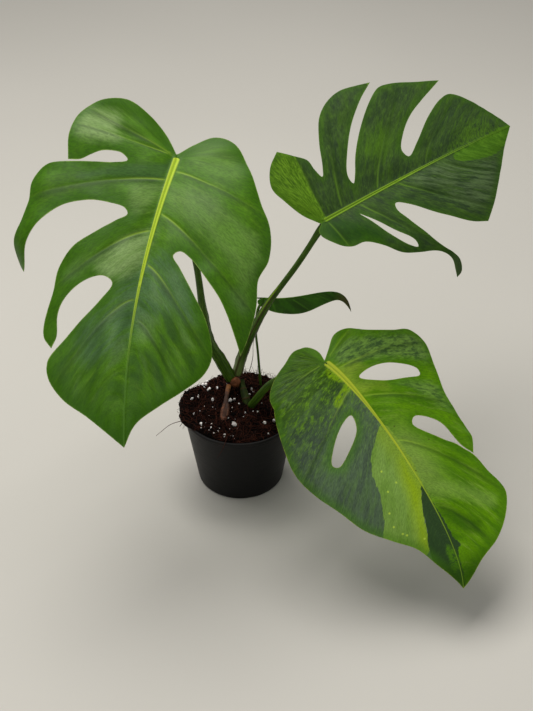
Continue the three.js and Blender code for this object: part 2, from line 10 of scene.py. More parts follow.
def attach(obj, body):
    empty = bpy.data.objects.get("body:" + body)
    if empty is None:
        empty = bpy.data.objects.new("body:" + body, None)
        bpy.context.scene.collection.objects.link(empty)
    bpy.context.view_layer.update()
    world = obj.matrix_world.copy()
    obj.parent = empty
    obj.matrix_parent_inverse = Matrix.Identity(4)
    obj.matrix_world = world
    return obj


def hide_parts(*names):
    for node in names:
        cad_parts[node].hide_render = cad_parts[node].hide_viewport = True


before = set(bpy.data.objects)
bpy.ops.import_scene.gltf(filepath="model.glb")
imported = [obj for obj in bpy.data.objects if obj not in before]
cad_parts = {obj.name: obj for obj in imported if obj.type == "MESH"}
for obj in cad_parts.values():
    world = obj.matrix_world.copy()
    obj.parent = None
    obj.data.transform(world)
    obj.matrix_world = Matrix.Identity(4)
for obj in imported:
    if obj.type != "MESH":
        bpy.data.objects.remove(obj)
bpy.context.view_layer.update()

# Lengths are millimetres until a mesh is made, which turns them into metres. The shapes and
# formulas of the leaves, stalks, stem, soil and pot are the CAD model's own, drawn finer.
# Points are written as text: commas within a point, spaces between points, and a slash at each
# sharp corner of a leaf's outline.

# How finely things are drawn, in millimetres from one point to the next.
LEAF_STEP = 1.8
YOUNG_LEAF_STEP = 1.4
STALK_STEP = 1.4
MARK_STEP = 1.5

# How many points, rings or sides things have.
STALK_SIDES = 40
POT_SIDES = 144
DRAIN_SIDES = 32
SOIL_SIDES = 300
SOIL_RINGS = 110
STEM_SIDES = 40
STEM_STEPS = 90
ROOT_SIDES = 36
ROOT_STEPS = 100
STRAND_STEPS = 26
CURVE_STEPS = 40
CHUNK = 2000

# A leaf's rows of points beside its midrib, in the midrib's half widths, and beside each main
# vein, in millimetres.
RIB_ROWS = (0.18, 0.5, 0.8, 1.1, 1.6)
VEIN_ROWS = (-1.9, -0.9, 0, 0.9, 1.9)

FIBRES = 1300
CHIPS = 700
UPRIGHT_FIBRES = 60
STREWN_GRAINS = 36
LITTER_SEED = 21
LEAF_SEED = 5

# The thickness of the leaves at the rim and further in, the leaf length that the relief was
# worked out for, and the millimetres in one unit of the coordinates that the materials read.
RIM_THICK = 0.3
BLADE_THICK = 0.7
RELIEF_LENGTH = 250
FLAT_UNIT = 10

# Faces that meet at more than this many degrees have a sharp edge between them.
LEAF_SHARP = 55
POT_SHARP = 40

FLOOR_REACH = 40000
SKY = {"colour": (1, 0.98, 0.94, 1), "strength": 0.36}
CAMERA = {"place": (0.028, -0.977, 0.866), "down": 36, "lens": 60, "sensor": 36}

# Each light's place and target in metres, its size, its power and its tint.
LIGHTS = {
    "key": ((-0.35, 0.3, 1.85), (0.03, -0.05, 0.2), (1.6, 1.3), 35, (1, 0.97, 0.92)),
    "front": ((-0.9, -1.6, 1.4), (0.03, 0, 0.2), (1.2, 1.2), 4, (1, 1, 1)),
    "right": ((1.7, -0.3, 1.2), (0.05, 0, 0.2), (0.8, 1.2), 2, (1, 1, 1)),
}

MM = 0.001
GAP = 0.3

POT = {"height": 88, "base": 46, "rim": 60, "wall": 1.4, "floor": 1.6, "lip": 4, "reach": 1.6,
       "drains": 8, "drain_radius": 4, "drain_ring": 34}

SOIL = {"edge": 86, "dome": 3, "back": 9, "rough": 1.1, "spill_reach": 6, "spill_height": 3.5,
        "spill_spread": 0.8}

STEM = {"path": "17,-6,42 13,-2,66 9,3,85 5,14,95 1,27,104", "radius": 4.4,
        "knob": (-5, 22.5, 105), "knob_radius": 4.8}

ROOT = {"path": "-18,-20,62 -17,-18,84 -15,-9,93 -14,5,99 -12,19,103", "top": 2.8,
        "foot": 4.2}

# Pale grains seen in the photograph: x, y and radius.
GRAINS = """-5,-28,2.7 -10,10,2.6 -29,11,2 -40,-26,2.1 26,-24,1.9 36,-20,1.6 -45,34,1.6 -41,35,1.3
            -36,39,1.7 -37,34,1.5 -39,31,1.2 -33,28,1.3 -35,27,1.1 -25,28,1.4 -45,16,1.2 -51,14,1.5
            -48,-9,1.2 -32,-14,0.9 -39,-36,1.1 -36,-31,0.9 -29,-27,1.1 -29,-33,1 -31,-38,0.9
            -20,-34,1.2 -22,-38,1 -26,-42,0.9 -15,-43,1.1 -15,-47,0.8 -6,11,1.4 12,25,1.5 10,19,1.2
            14,21,1 6,-9,1 19,-10,1.4 -8,-1,0.9 -1,3,1 23,7,0.9 30,-40,1 44,-12,1.1 47,20,1.2"""

LEAVES = {
    "left": {
        "midrib": "-53,0,378 -77,-70,337 -98,-136,272 -94,-202,205",
        "up": "0.1,0,1 0,0,1",
        "lobe_bend": -0.003,
        "bend": {
            "right": """-80,26,2,66,15 0,20,2,84,20 45,16,3,94,18 90,14,3,92,16 130,12,4,78,22
                190,10,5,74,12 280,6,5,80,8""",
            "left": "-40,14,8,60,10 60,14,6,66,11 150,12,5,66,13 230,8,6,56,13 300,4,6,60,8",
        },
        "droop": [("right", 0.17, 0.33, 50, 3)],
        "veins": {"right": [-0.075, -0.01, 0.07, 0.215, 0.4, 0.585],
                  "left": [0.04, 0.165, 0.305, 0.45, 0.62]},
        "rib": 3.7,
        "taper": 1.9,
        "outline": """18,-19 38,-31 61,-38 84,-28 98,-8 100,10 93,31.7 / 82,29.3 74,23.5 66,18
            57,15.3 48,14.7 41,19 52,24.6 68,28.3 82,31 98,34.5 109,37.5 117,43 123,55 120,72 124,90
            132,107 129,119 117,127 / 113,106 100,86 84,71 64,63 44,61 30,62 26,67 34,75 50,89
            66,105 75,124 76,146 80,168 78,181 69,190 / 66,180 68,163 63,147 48,131 33,125 24,130
            32,147 44,164 58,183 70,202 68,215 54,231 32,245 14,259 0,271 / -10,251 -30,235 -50,220
            -67,203 -73,185 -65,154 -48,127 -33,107 -25,97 -30,92 -41,97 -58,113 -74,131 -87,154
            -99,180 / -105,155 -107,127 -104,101 -109,78 -104,50 -86,22 -66,-7 -48,-25 -28,-27
            -11,-15 2,-3""",
        "holes": [],
    },
    "upper": {
        "midrib": "82,7,308 159,47,334 218,78,352 273,123,352",
        "up": "0,-0.65,0.75 0,-0.65,0.75",
        "lobe_bend": 0.002,
        "bend": {
            "right": "-30,22,9,22,26 40,20,8,44,22 90,14,7,60,18 140,8,6,66,12 240,4,6,80,8",
            "left": "-60,10,2,60,8 0,10,2,70,6 100,8,2,80,6 200,6,3,80,6 260,4,3,80,6",
        },
        "droop": [("right", -1, 0.2, 94, 80)],
        "veins": {"right": [0.01, 0.13, 0.28, 0.45, 0.62, 0.8],
                  "left": [0.01, 0.075, 0.21, 0.4, 0.58, 0.76]},
        "rib": 2.6,
        "taper": 1.2,
        "outline": """8,-10 18,-9 31,-1 38,9 40,21 52,35 66,48 74,65 78,77 83,86 93,97 103,104
            109,109 / 105,114 97,110 88,99 80,90 70,84 59,79 42,71 27,66 20,69 27,79 43,95 58,112
            70,129 77,145 / 64,160 40,184 17,207 0,229 / -20,217 -43,201 -56,187 -55,174 -43,149
            -26,125 -16,108 -24,105 -38,115 -52,133 -62,155 -74,186 / -84,158 -92,135 -93,122
            -82,103 -62,80 -42,62 -25,51 -18,45 -27,44 -46,55 -70,75 -90,99 -102,118 / -108,88
            -104,69 -92,52 -68,37 -46,27 -38,22 -48,19 -59,18 -70,8 -81,-3 / -70,-17 -52,-26 -34,-22
            -14,-14 1,-3""",
        "holes": [
            "12,33 28,43 46,54 61,65 68,65 61,56 43,45 22,37",
        ],
    },
    "lower": {
        "midrib": "85,-48,182 119,-76,177 210,-180,86 209,-221,52",
        "up": "0,-0.2,1 0,-0.1,1",
        "lobe_bend": 0.002,
        "bend": {
            "right": "-60,8,4,60,12 40,8,4,60,14 100,8,5,60,14 180,6,5,70,10 260,4,6,80,8",
            "left": "-60,10,4,60,14 0,10,3,80,10 100,8,2,90,10 200,6,3,80,8 260,4,3,80,6",
        },
        "droop": [("left", -1, 0.21, 55, 8)],
        "veins": {"right": [-0.05, 0.11], "left": [-0.06, 0.04, 0.15, 0.31, 0.53]},
        "rib": 4.2,
        "taper": 2.0,
        "outline": """-7,-14 -4,-28 8,-33 28,-28 52,-22 70,-12 81,9 93,40 101,75 97,105 85,135
            72,165 52,188 34,205 20,228 0,254 / -22,233 -45,220 -64,204 -75,189 -74,180 -68.5,166
            -63,148.5 -57.5,140.5 -52.5,133 -45,125.5 -34,111.5 -26,98 -32,93 -42,98 -50,107
            -53.5,117 -55,127 -57,136.5 -64,148 / -71,138 -75.5,127 -75,110 -77,90 -88,63 -101,38
            -99,23 -79,16 -57,3 -49,-9 -33,-14 -14,-7 -2,-2""",
        "holes": [
            "-13,33 -30,32 -50,40 -68,57 -66,63 -47,57 -27,47",
            "21,60 33,62 52,74 67,92 63,97 44,88 26,74",
        ],
    },
    "young": {
        "midrib": "25,54,191 75,54,184 108,54,222 116,44,179",
        "up": "0,0,1 0.3,0,1",
        "lobe_bend": 0.01,
        "bend": {
            "right": "-20,-4,6,20,10 60,-6,8,20,14 110,-20,12,20,14",
            "left": "-20,-38,4,20,6 60,-40,4,20,8 110,-30,10,20,14",
        },
        "droop": [],
        "veins": {"right": [-0.1, 0.05, 0.2, 0.38, 0.58, 0.8],
                  "left": [-0.1, 0.05, 0.2, 0.38, 0.58, 0.8]},
        "rib": 1.3,
        "taper": 1.5,
        "outline": """5,-6 12,-5 18,4 23,20 25,40 19,62 8,85 0,104 / -8,86 -15,64 -20,42 -21,20
            -18,4 -12,-6 -5,-7 1,-1""",
        "holes": [],
    },
}

# Areas coloured apart, as closed curves through points in flat leaf coordinates. Most are
# the leaves' own colour. On the left leaf the sheen marks are painted sheen, and the dull mark
# and the grey-green band near the base are partly grey tone, partly painted sheen. On the lower
# leaf a dark furrow near the tip is painted shade and the ridge beside it a painted highlight.
MARKS = {
    "left": {
        "dull": """-5,100 -14,95 -30,110 -46,130 -52,156 -30,150 -8,165 14,190 40,200 44,176 24,150
            14,125 4,108""",
        "grey_blue_tone_and_sheen": "5,6 11,11 35,22 49,29 64,36 80,43 79,46 57,39 41,35 23,32 8,29",
        "lobe_sheen": "54,3 60,-2 60,-12 63,-21 77,-21 93,-7 94,5 88,11 68,8",
        "back_sheen": "-18,1 -14,-9 -24,-17 -40,-17 -53,-10 -61,2 -58,14 -44,13 -27,11",
        "mid_sheen": "4,79 13,84 24,92 33,105 40,117 33,125 22,124 11,119 3,109 2,95",
        "wide_sheen": """-4,30 -25,31 -55,41 -78,52 -95,64 -100,93 -91,111 -74,94 -50,73 -26,61
            -9,53""",
        "rib_sheen": "4,32 7,45 11,55 19,63 28,57 30,44 22,36 12,33",
    },
    "upper": {
        "wedge": "-1,228 1,172 3,150 8,148 16,161 21,184 17,205",
        "bright": "-28,78 -42,66 -52,80 -50,104 -34,106 -26,92",
        "leafy": "2,0 8,-10 20,-8 34,2 40,18 52,34 40,40 22,30 10,18",
        "glow": "-1,148 -12,160 -20,182 -18,200 -8,208 -1,214",
        "ash": "6,96 22,108 44,122 60,142 56,160 36,182 24,184 20,160 8,140 4,118",
    },
    "lower": {
        "sector": """-1,84 12,89 22,97 31,106 38,116 41,128 43,138 47,152 52,166 60,186 30,214
            23,212 18,189 13,172 6,160 -1,150""",
        "wedge": """0,152 6,160 13,172 18,189 24,212 20,232 9,244 0,258 -2,240 -2,228 -4,220 -7,216
            -4,206 -3,190 -1,172""",
        "grey": "-10,6 -29,0 -44,4 -66,14 -92,26 -96,44 -84,56 -59,40 -33,26 -16,17",
        "patch": "-40,60 -56,63 -78,84 -76,110 -68,104 -56,82",
        "flare": "0,29 6,31 14,34 25,38 30,46 24,46 14,40 6,38 0,37",
        "foot": "0,6 7,7 12,12 12,19 8,25 0,28",
        "gold": "3,120 4,138 3,152 13,173 18,191 23,212 28,206 27,184 20,157 14,134",
        # A furrow's painted shade, and the painted highlight on the ridge beside it.
        "painted_fold_shade": "-3,172 -11,180 -24,193 -36,203 -27,209 -12,204 -5,190",
        "painted_crest_highlight": "-4,156 -22,158 -48,178 -62,190 -52,196 -30,180 -12,168",
        "tip_green": "7,212 0,218 0,236 6,238 9,226",
        "root_glow": "0,2 -4,12 -13,17 -24,22 -30,58 -16,50 -3,48",
    },
    "young": {},
}

# Pale dots in the light area of the lower leaf, and brown specks beside its midrib.
DOTS = "23,138 35,142 44,161 46,175 41,185 38,188 24,198 30,122"
SPECKS = "-9,91 -2.5,137 -31,118 38,70"

STALKS = {
    "left": {"path": "-10,27,106 -21,24,132 -32,22,158 -36,18,196 -40,12,252 -50,4,325",
             "foot": 5.3, "top": 3.1, "wing": 0.45, "reach": 0.45},
    "upper": {"path": "-3,31,110 4,28,139 15,24,171 30,20,206 60,13,260",
              "foot": 4.6, "top": 2.9, "wing": 0.4, "reach": 0.6},
    "lower": {"path": "11,4,87 18,-4,104 32,-17,133 56,-33,161",
              "foot": 3.9, "top": 3, "wing": 0.3, "reach": 0.5},
    "young": {"path": "23,31,60 22,32,90 19,35,135 17,42,160 20,51,181",
              "foot": 1.7, "top": 1.3, "wing": 0, "reach": 0.5},
}


# Numbers

def mix(a, b, t):
    return a + (b - a) * t


def smoothstep(t):
    t = np.clip(t, 0, 1)
    return t * t * (3 - 2 * t)


def bell(t):
    return np.exp(-t * t)


def unit(v):
    return v / np.linalg.norm(v, axis=-1, keepdims=True)


def linear(code):
    """A colour such as "#4a6a22" as linear red, green, blue and alpha."""
    parts = [int(code[i:i + 2], 16) / 255 for i in (1, 3, 5)]
    return (*[p / 12.92 if p <= 0.04045 else ((p + 0.055) / 1.055) ** 2.4 for p in parts], 1)


def table(text):
    """Rows of numbers, from text with commas inside a row and spaces between rows."""
    return [tuple(map(float, row.split(","))) for row in text.split()]


def turns(count):
    return 2 * np.pi * np.arange(count) / count


def spline(points, closed=False, step=None, count=None):
    """Points spaced evenly along a centripetal Catmull-Rom curve through the given ones."""
    p = np.array(points, float)
    if closed:
        p = np.vstack([p[-1:], p, p[:2]])
    else:
        p = np.vstack([2 * p[0] - p[1], p, 2 * p[-1] - p[-2]])
    t = np.linspace(0, 1, CURVE_STEPS, endpoint=False)[:, None]
    fine = []
    for a, b, c, d in zip(p, p[1:], p[2:], p[3:]):
        da, db, dc = (max(np.linalg.norm(v) ** 0.5, 1e-4) for v in (b - a, c - b, d - c))
        start = ((b - a) / da - (c - a) / (da + db) + (c - b) / db) * db
        end = ((c - b) / db - (d - b) / (db + dc) + (d - c) / dc) * db
        fine.append(b + start * t + (3 * (c - b) - 2 * start - end) * t**2
                    + (2 * (b - c) + start + end) * t**3)
    fine = np.vstack([*fine, p[-2:-1]])
    return even(fine, step, count)


def even(line, step=None, count=None):
    """Points spaced evenly along a line, by the wanted step or count."""
    run = np.concatenate([[0], np.cumsum(np.linalg.norm(np.diff(line, axis=0), axis=1))])
    count = count or max(2, math.ceil(run[-1] / step))
    places = np.linspace(0, run[-1], count + 1)
    return np.stack([np.interp(places, run, line[:, k]) for k in range(line.shape[1])], 1)


# Meshes

def add_piece(name, points, faces, material, attributes=None, smooth=True):
    mesh = bpy.data.meshes.new(name)
    mesh.from_pydata((np.asarray(points) * MM).tolist(), [], [list(map(int, f)) for f in faces])
    for key, values in (attributes or {}).items():
        values = np.asarray(values, np.float32)
        kind, field = ("FLOAT", "value") if values.ndim == 1 else ("FLOAT_VECTOR", "vector")
        mesh.attributes.new(key, kind, "POINT").data.foreach_set(field, values.ravel())
    mesh.polygons.foreach_set("use_smooth", [smooth] * len(mesh.polygons))
    mesh.validate()
    mesh.update()
    mesh.materials.append(material)
    piece = bpy.data.objects.new(name, mesh)
    bpy.context.scene.collection.objects.link(piece)
    return piece


def dress(piece, slot, *nodes):
    """Puts a piece on the object's one body, in place of the CAD nodes named."""
    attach(piece, "root")
    if nodes:
        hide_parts(*nodes)


def rings(rows, sides, first=0, flip=False):
    """Four-sided faces between rings of points laid one after another."""
    faces = []
    for start in range(first, first + (rows - 1) * sides, sides):
        for k in range(sides):
            a, b = start + k, start + (k + 1) % sides
            faces.append((b, a, a + sides, b + sides) if flip else (a, b, b + sides, a + sides))
    return faces


class Pile:
    """Several small shapes gathered into one mesh, each with a tint between 0 and 1."""

    def __init__(self):
        self.points, self.faces, self.tints, self.count = [], [], [], 0

    def add(self, points, faces, tint):
        self.points.append(points)
        self.faces += [[i + self.count for i in face] for face in faces]
        self.tints.append(np.full(len(points), tint))
        self.count += len(points)

    def add_tube(self, line, sides, start, end, tint):
        """Adds a round tube along a line, with its radius at the start and the end."""
        points, faces, *_ = tube(line, sides, lambda share, _: mix(start, end, share))
        self.add(points, faces, tint)

    def piece(self, name, material, smooth=True):
        tints = {"tint": np.concatenate(self.tints)}
        return add_piece(name, np.vstack(self.points), self.faces, material, tints, smooth)


def tube(line, sides, section):
    """A closed tube along a line. section gives the radius from the share of the way and the
    angle. Returns points, faces, and each point's share and angle."""
    along = unit(np.gradient(line, axis=0))
    helper = np.eye(3)[np.argmin(np.abs(along[0]))]
    side = unit(np.cross(along[0], helper))
    normal = np.cross(along[0], side)
    normals = [normal]
    for before, after in zip(along, along[1:]):
        axis = np.cross(before, after)
        size = np.linalg.norm(axis)
        if size > 1e-9:
            axis, turn = axis / size, math.atan2(size, float(before @ after))
            normal = (normal * math.cos(turn) + np.cross(axis, normal) * math.sin(turn)
                      + axis * (axis @ normal) * (1 - math.cos(turn)))
        normals.append(normal)
    normals = np.array(normals)[:, None]
    binormals = np.cross(along[:, None], normals)
    count = len(line)
    share = np.repeat(np.linspace(0, 1, count)[:, None], sides, 1)
    angle = np.repeat(turns(sides)[None], count, 0)
    reach = np.asarray(section(share, angle))[..., None]
    points = line[:, None] + reach * (np.cos(angle)[..., None] * normals
                                      + np.sin(angle)[..., None] * binormals)
    faces = rings(count, sides)
    faces.append(tuple(range(sides))[::-1])
    faces.append(tuple(range((count - 1) * sides, count * sides)))
    return points.reshape(-1, 3), faces, share.ravel(), angle.ravel()


def ball(bands, sides):
    """A unit sphere's points and faces."""
    points = [(0, 0, -1)]
    for i in range(1, bands):
        z, r = -math.cos(math.pi * i / bands), math.sin(math.pi * i / bands)
        for k in range(sides):
            turn = 2 * math.pi * (k + 0.5 * (i % 2)) / sides
            points.append((r * math.cos(turn), r * math.sin(turn), z))
    points.append((0, 0, 1))
    last = len(points) - 1
    faces = [(0, 1 + (k + 1) % sides, 1 + k) for k in range(sides)]
    faces += rings(bands - 1, sides, first=1)
    start = 1 + (bands - 2) * sides
    faces += [(last, start + k, start + (k + 1) % sides) for k in range(sides)]
    return np.array(points), faces


def lumps(points, scale, octaves, seed):
    """Fractal noise at each point, about -1 to 1."""
    shift = Vector((seed * 7.3, seed * 3.1, -seed * 5.7))
    return np.array([noise.fractal(Vector(p) * scale + shift, 1, 2, octaves) for p in points])


# Flat patterns

def in_chunks(points, loops, work):
    """Does some work on points and all the loops' edges, for a part of the points at a time."""
    starts = np.vstack(loops)
    ends = np.vstack([np.roll(loop, -1, axis=0) for loop in loops])
    return np.concatenate([work(points[i:i + CHUNK, None], starts[None], ends[None])
                           for i in range(0, len(points), CHUNK)])


def distance_to(points, loops):
    def work(p, a, b):
        span = b - a
        share = ((p - a) * span).sum(-1) / np.maximum((span * span).sum(-1), 1e-12)
        near = a + span * np.clip(share, 0, 1)[..., None]
        return np.sqrt(((p - near) ** 2).sum(-1).min(1))
    return in_chunks(points, loops, work)


def is_inside(points, loops):
    def work(p, a, b):
        crosses = (a[..., 1] > p[..., 1]) != (b[..., 1] > p[..., 1])
        rise = np.where(b[..., 1] == a[..., 1], 1, b[..., 1] - a[..., 1])
        at = a[..., 0] + (p[..., 1] - a[..., 1]) / rise * (b[..., 0] - a[..., 0])
        return ((crosses & (p[..., 0] < at)).sum(1) % 2).astype(bool)
    return in_chunks(points, loops, work)


def fill(loops, inner):
    """Triangles over a flat outline with holes, through inner points too."""
    points = np.vstack([*loops, inner])
    edges, first = [], 0
    for loop in loops:
        edges += [(first + i, first + (i + 1) % len(loop)) for i in range(len(loop))]
        first += len(loop)
    found = delaunay_2d_cdt([Vector(p) for p in points], edges, [], 0, 1e-5)
    flat = np.array([tuple(p) for p in found[0]])
    faces = np.array([f for f in found[2] if len(f) == 3])
    corners = flat[faces]
    area = np.cross(corners[:, 1] - corners[:, 0], corners[:, 2] - corners[:, 0])
    faces[area < 0] = faces[area < 0][:, ::-1]
    keep = is_inside(corners.mean(1), loops) & (np.abs(area) > 1e-6)
    used, again = np.unique(faces[keep], return_inverse=True)
    return flat[used], again.reshape(-1, 3)


def thicken(upper, lower, faces):
    """One closed mesh from two faces that have the same triangles."""
    count = len(upper)
    shell = [tuple(f) for f in faces] + [(c + count, b + count, a + count) for a, b, c in faces]
    edges = {(f[k], f[(k + 1) % 3]) for f in faces.tolist() for k in range(3)}
    rim = [(a, b) for a, b in edges if (b, a) not in edges]
    shell += [(a, a + count, b + count, b) for a, b in rim]
    return np.vstack([upper, lower]), shell


# Leaves

def vein_angle(share):
    """The angle between the midrib and the side vein that leaves it at a share of its length."""
    return np.radians(22 + 66 * np.exp(-share / 0.19))


def vein_start(reach):
    """How much a side vein's small forward curve shortens its share, at a reach from the midrib."""
    return 1 - 0.23 * np.exp(-reach / 20)


def runs(text):
    """Curves round an outline, each from the corner where the one before it ends."""
    parts = [table(part) for part in text.split("/")]
    return [[before[-1], *part] for before, part in zip([parts[-1], *parts], parts)]


def station(text, y):
    """The values at y between a table's rows, which start with their own y."""
    rows = np.array(table(text))
    i = np.clip(np.searchsorted(rows[:, 0], y, side="right") - 1, 0, len(rows) - 2)
    t = smoothstep((y - rows[i, 0]) / (rows[i + 1, 0] - rows[i, 0]))
    return mix(rows[i, 1:], rows[i + 1, 1:], t[:, None]).T


def loop_through(text, step):
    return spline(table(text), closed=True, step=step)[:-1]


class Leaf:
    """A flat pattern bent onto its midrib, as in the CAD model."""

    def __init__(self, data):
        self.data = data
        self.corners = np.array(table(data["midrib"]))
        self.t = np.linspace(0, 1, 401)
        steps = np.linalg.norm(np.diff(self.place(self.t), axis=0), axis=1)
        self.run = np.concatenate([[0], np.cumsum(steps)])
        self.length = self.run[-1]

    def place(self, t):
        a, b, c, d = self.corners
        t = t[:, None]
        return (1 - t)**3 * a + 3 * (1 - t)**2 * t * b + 3 * (1 - t) * t * t * c + t**3 * d

    def frame(self, y):
        """The midrib's point, its upward direction and the direction to the right at y."""
        a, b, c, d = self.corners
        t = np.interp(np.clip(y, 0, self.length), self.run, self.t)
        point = self.place(t)
        t = t[:, None]
        along = unit((1 - t)**2 * (b - a) + 2 * (1 - t) * t * (c - b) + t * t * (d - c))
        up = mix(*np.array(table(self.data["up"])), t)
        up = unit(up - along * (up * along).sum(1, keepdims=True))
        bend = self.data["lobe_bend"]
        turn = (-np.minimum(y, 0) * bend)[:, None]
        point = point - along * np.sin(turn) / bend - up * (1 - np.cos(turn)) / bend
        along, up = (along * np.cos(turn) + up * np.sin(turn),
                     up * np.cos(turn) - along * np.sin(turn))
        point = point + along * np.maximum(y - self.length, 0)[:, None]
        return point, up, np.cross(along, up)

    def share(self, x, y):
        """Where the side vein through a point leaves the midrib; below 0 in the lobes."""
        across = np.abs(x)
        turn = np.arctan2(across, y)
        low, high = np.zeros_like(across), np.full_like(across, 1.5)
        for _ in range(30):
            share = (low + high) / 2
            angle = vein_angle(share)
            beyond = (y - share * self.length) * np.sin(angle) > across * np.cos(angle)
            low, high = np.where(beyond, share, low), np.where(beyond, high, share)
        return np.where(turn >= vein_angle(0), -(turn - vein_angle(0)) / np.pi, low)

    def vein(self, x, y):
        """The share, less the small forward curve that each vein starts with."""
        share = self.share(x, y)
        return np.where(share > 0, share * vein_start(np.abs(x)), share)

    def at(self, x, y):
        """Where a flat point lies on the bent leaf, in the middle of its thickness."""
        point, up, across = self.frame(y)
        right = station(self.data["bend"]["right"], y)
        left = station(self.data["bend"]["left"], y)
        tilt, curl, change, far = np.where(x >= 0, right, left)
        reach = np.abs(x)
        turn = -np.radians(tilt)
        out, rise = np.zeros_like(x), np.zeros_like(x)
        for bend, length in ((curl / 1000, np.minimum(reach, change)),
                             (far / 1000, np.maximum(0, reach - change))):
            end = turn + bend * length
            out += (np.sin(end) - np.sin(turn)) / bend
            rise += (np.cos(end) - np.cos(turn)) / bend
            turn = end
        rise = rise - self.drop(x, y)
        return point + across * (np.sign(x) * out)[:, None] + up * rise[:, None]

    def drop(self, x, y):
        """How far the fingers' own droop lowers a point."""
        share = self.share(x, y)
        drop = np.zeros_like(x)
        for where, low, high, start, depth in self.data["droop"]:
            side = (x >= 0) == (where == "right")
            inside = (smoothstep((share - low) / 0.03 + 0.5)
                      * smoothstep((high - share) / 0.03 + 0.5))
            away = np.hypot(x, y - np.maximum(0, share) * self.length) - start
            drop += side * inside * depth * (np.maximum(0, away) / 60) ** 2
        return drop

    def normal(self, x, y):
        side = np.where(x >= 0, 1.0, -1.0)
        across = (self.at(x + side * 0.5, y) - self.at(x, y)) * side[:, None]
        along = self.at(x, y + 0.5) - self.at(x, y - 0.5)
        normal = unit(np.cross(across, along))
        return unit(mix(self.frame(y)[1], normal, smoothstep(np.abs(x) / 2.5)[:, None]))

    def rib_width(self, y):
        return self.data["rib"] * np.exp(-self.data["taper"] * np.clip(y / self.length, 0, 1))

    def panels(self, x, y):
        """For each point: the side vein's number in millimetres across, how far along it the
        point lies, its place between two main veins, the width between those, and how far away
        the nearer one is."""
        vein = self.vein(x, y)
        slope = np.hypot(self.vein(x + 0.5, y) - self.vein(x - 0.5, y),
                         self.vein(x, y + 0.5) - self.vein(x, y - 0.5))
        slope = np.clip(slope, 0.002, 0.03)
        along = np.where(vein > 0, np.abs(x) / np.sin(vein_angle(np.maximum(vein, 0))),
                         np.hypot(x, y))
        low, high = np.zeros_like(x), np.zeros_like(x)
        for side, mains in self.data["veins"].items():
            mains = np.array([-0.6, *mains, 1.02])
            i = np.clip(np.searchsorted(mains, vein, side="right") - 1, 0, len(mains) - 2)
            here = (x >= 0) == (side == "right")
            low, high = np.where(here, mains[i], low), np.where(here, mains[i + 1], high)
        place = np.clip((vein - low) / (high - low), 0, 1)
        width = (high - low) / slope
        near = np.minimum(place, 1 - place) * width
        return vein * self.length, along, place, np.minimum(width, 60), near

    def outline(self, step):
        outer = np.vstack([spline(run, step=step)[:-1] for run in runs(self.data["outline"])])
        return [outer, *(loop_through(hole, step) for hole in self.data["holes"])]


def leaf_points(leaf, loops, step):
    """Inner points: rows beside the midrib and each main vein, and a field of the rest."""
    rows = []
    for y in np.arange(0.5, leaf.length - 1, step * 0.9):
        half = float(leaf.rib_width(y))
        rows += [(side * half * k, y) for k in RIB_ROWS for side in (-1, 1)]
        rows.append((0, y))
    for side, mains in leaf.data["veins"].items():
        sign = 1 if side == "right" else -1
        for main in mains:
            if main > 0:
                across = np.linspace(3, 140, 300)
                share = main / vein_start(across)
                forward = share * leaf.length + across / np.tan(vein_angle(share))
                line = np.stack([across, forward], 1)
            else:
                turn = vein_angle(0) - np.pi * main
                reach = np.linspace(10, 130, 300)
                line = np.stack([reach * np.sin(turn), reach * np.cos(turn)], 1)
            line = even(line, step)
            away = unit(np.gradient(line, axis=0))[:, ::-1] * (1, -1)
            for offset in VEIN_ROWS:
                moved = line + away * offset
                rows += [(sign * x, y) for x, y in moved if x > 3]
    rows = np.array(rows)
    x, y = np.meshgrid(np.arange(-135, 135, step), np.arange(-60, leaf.length, step * 0.866))
    x = x + (np.arange(len(x)) % 2)[:, None] * step / 2
    field = np.stack([x.ravel(), y.ravel()], 1)
    draw = np.random.default_rng(LEAF_SEED)
    field += draw.uniform(-0.12, 0.12, field.shape) * step
    reach = leaf.rib_width(field[:, 1]) * 1.6 + 0.8
    field = field[(np.abs(field[:, 0]) > reach) | (field[:, 1] < 0)]
    field = field[is_inside(field, loops)]
    field = field[leaf.panels(*field.T)[4] > 2.6]
    rows = rows[is_inside(rows, loops)]
    _, first = np.unique(np.round(rows / 0.55), axis=0, return_index=True)
    rows = rows[np.sort(first)]
    points = np.vstack([rows, field])
    return points[distance_to(points, loops) > step * 0.45]


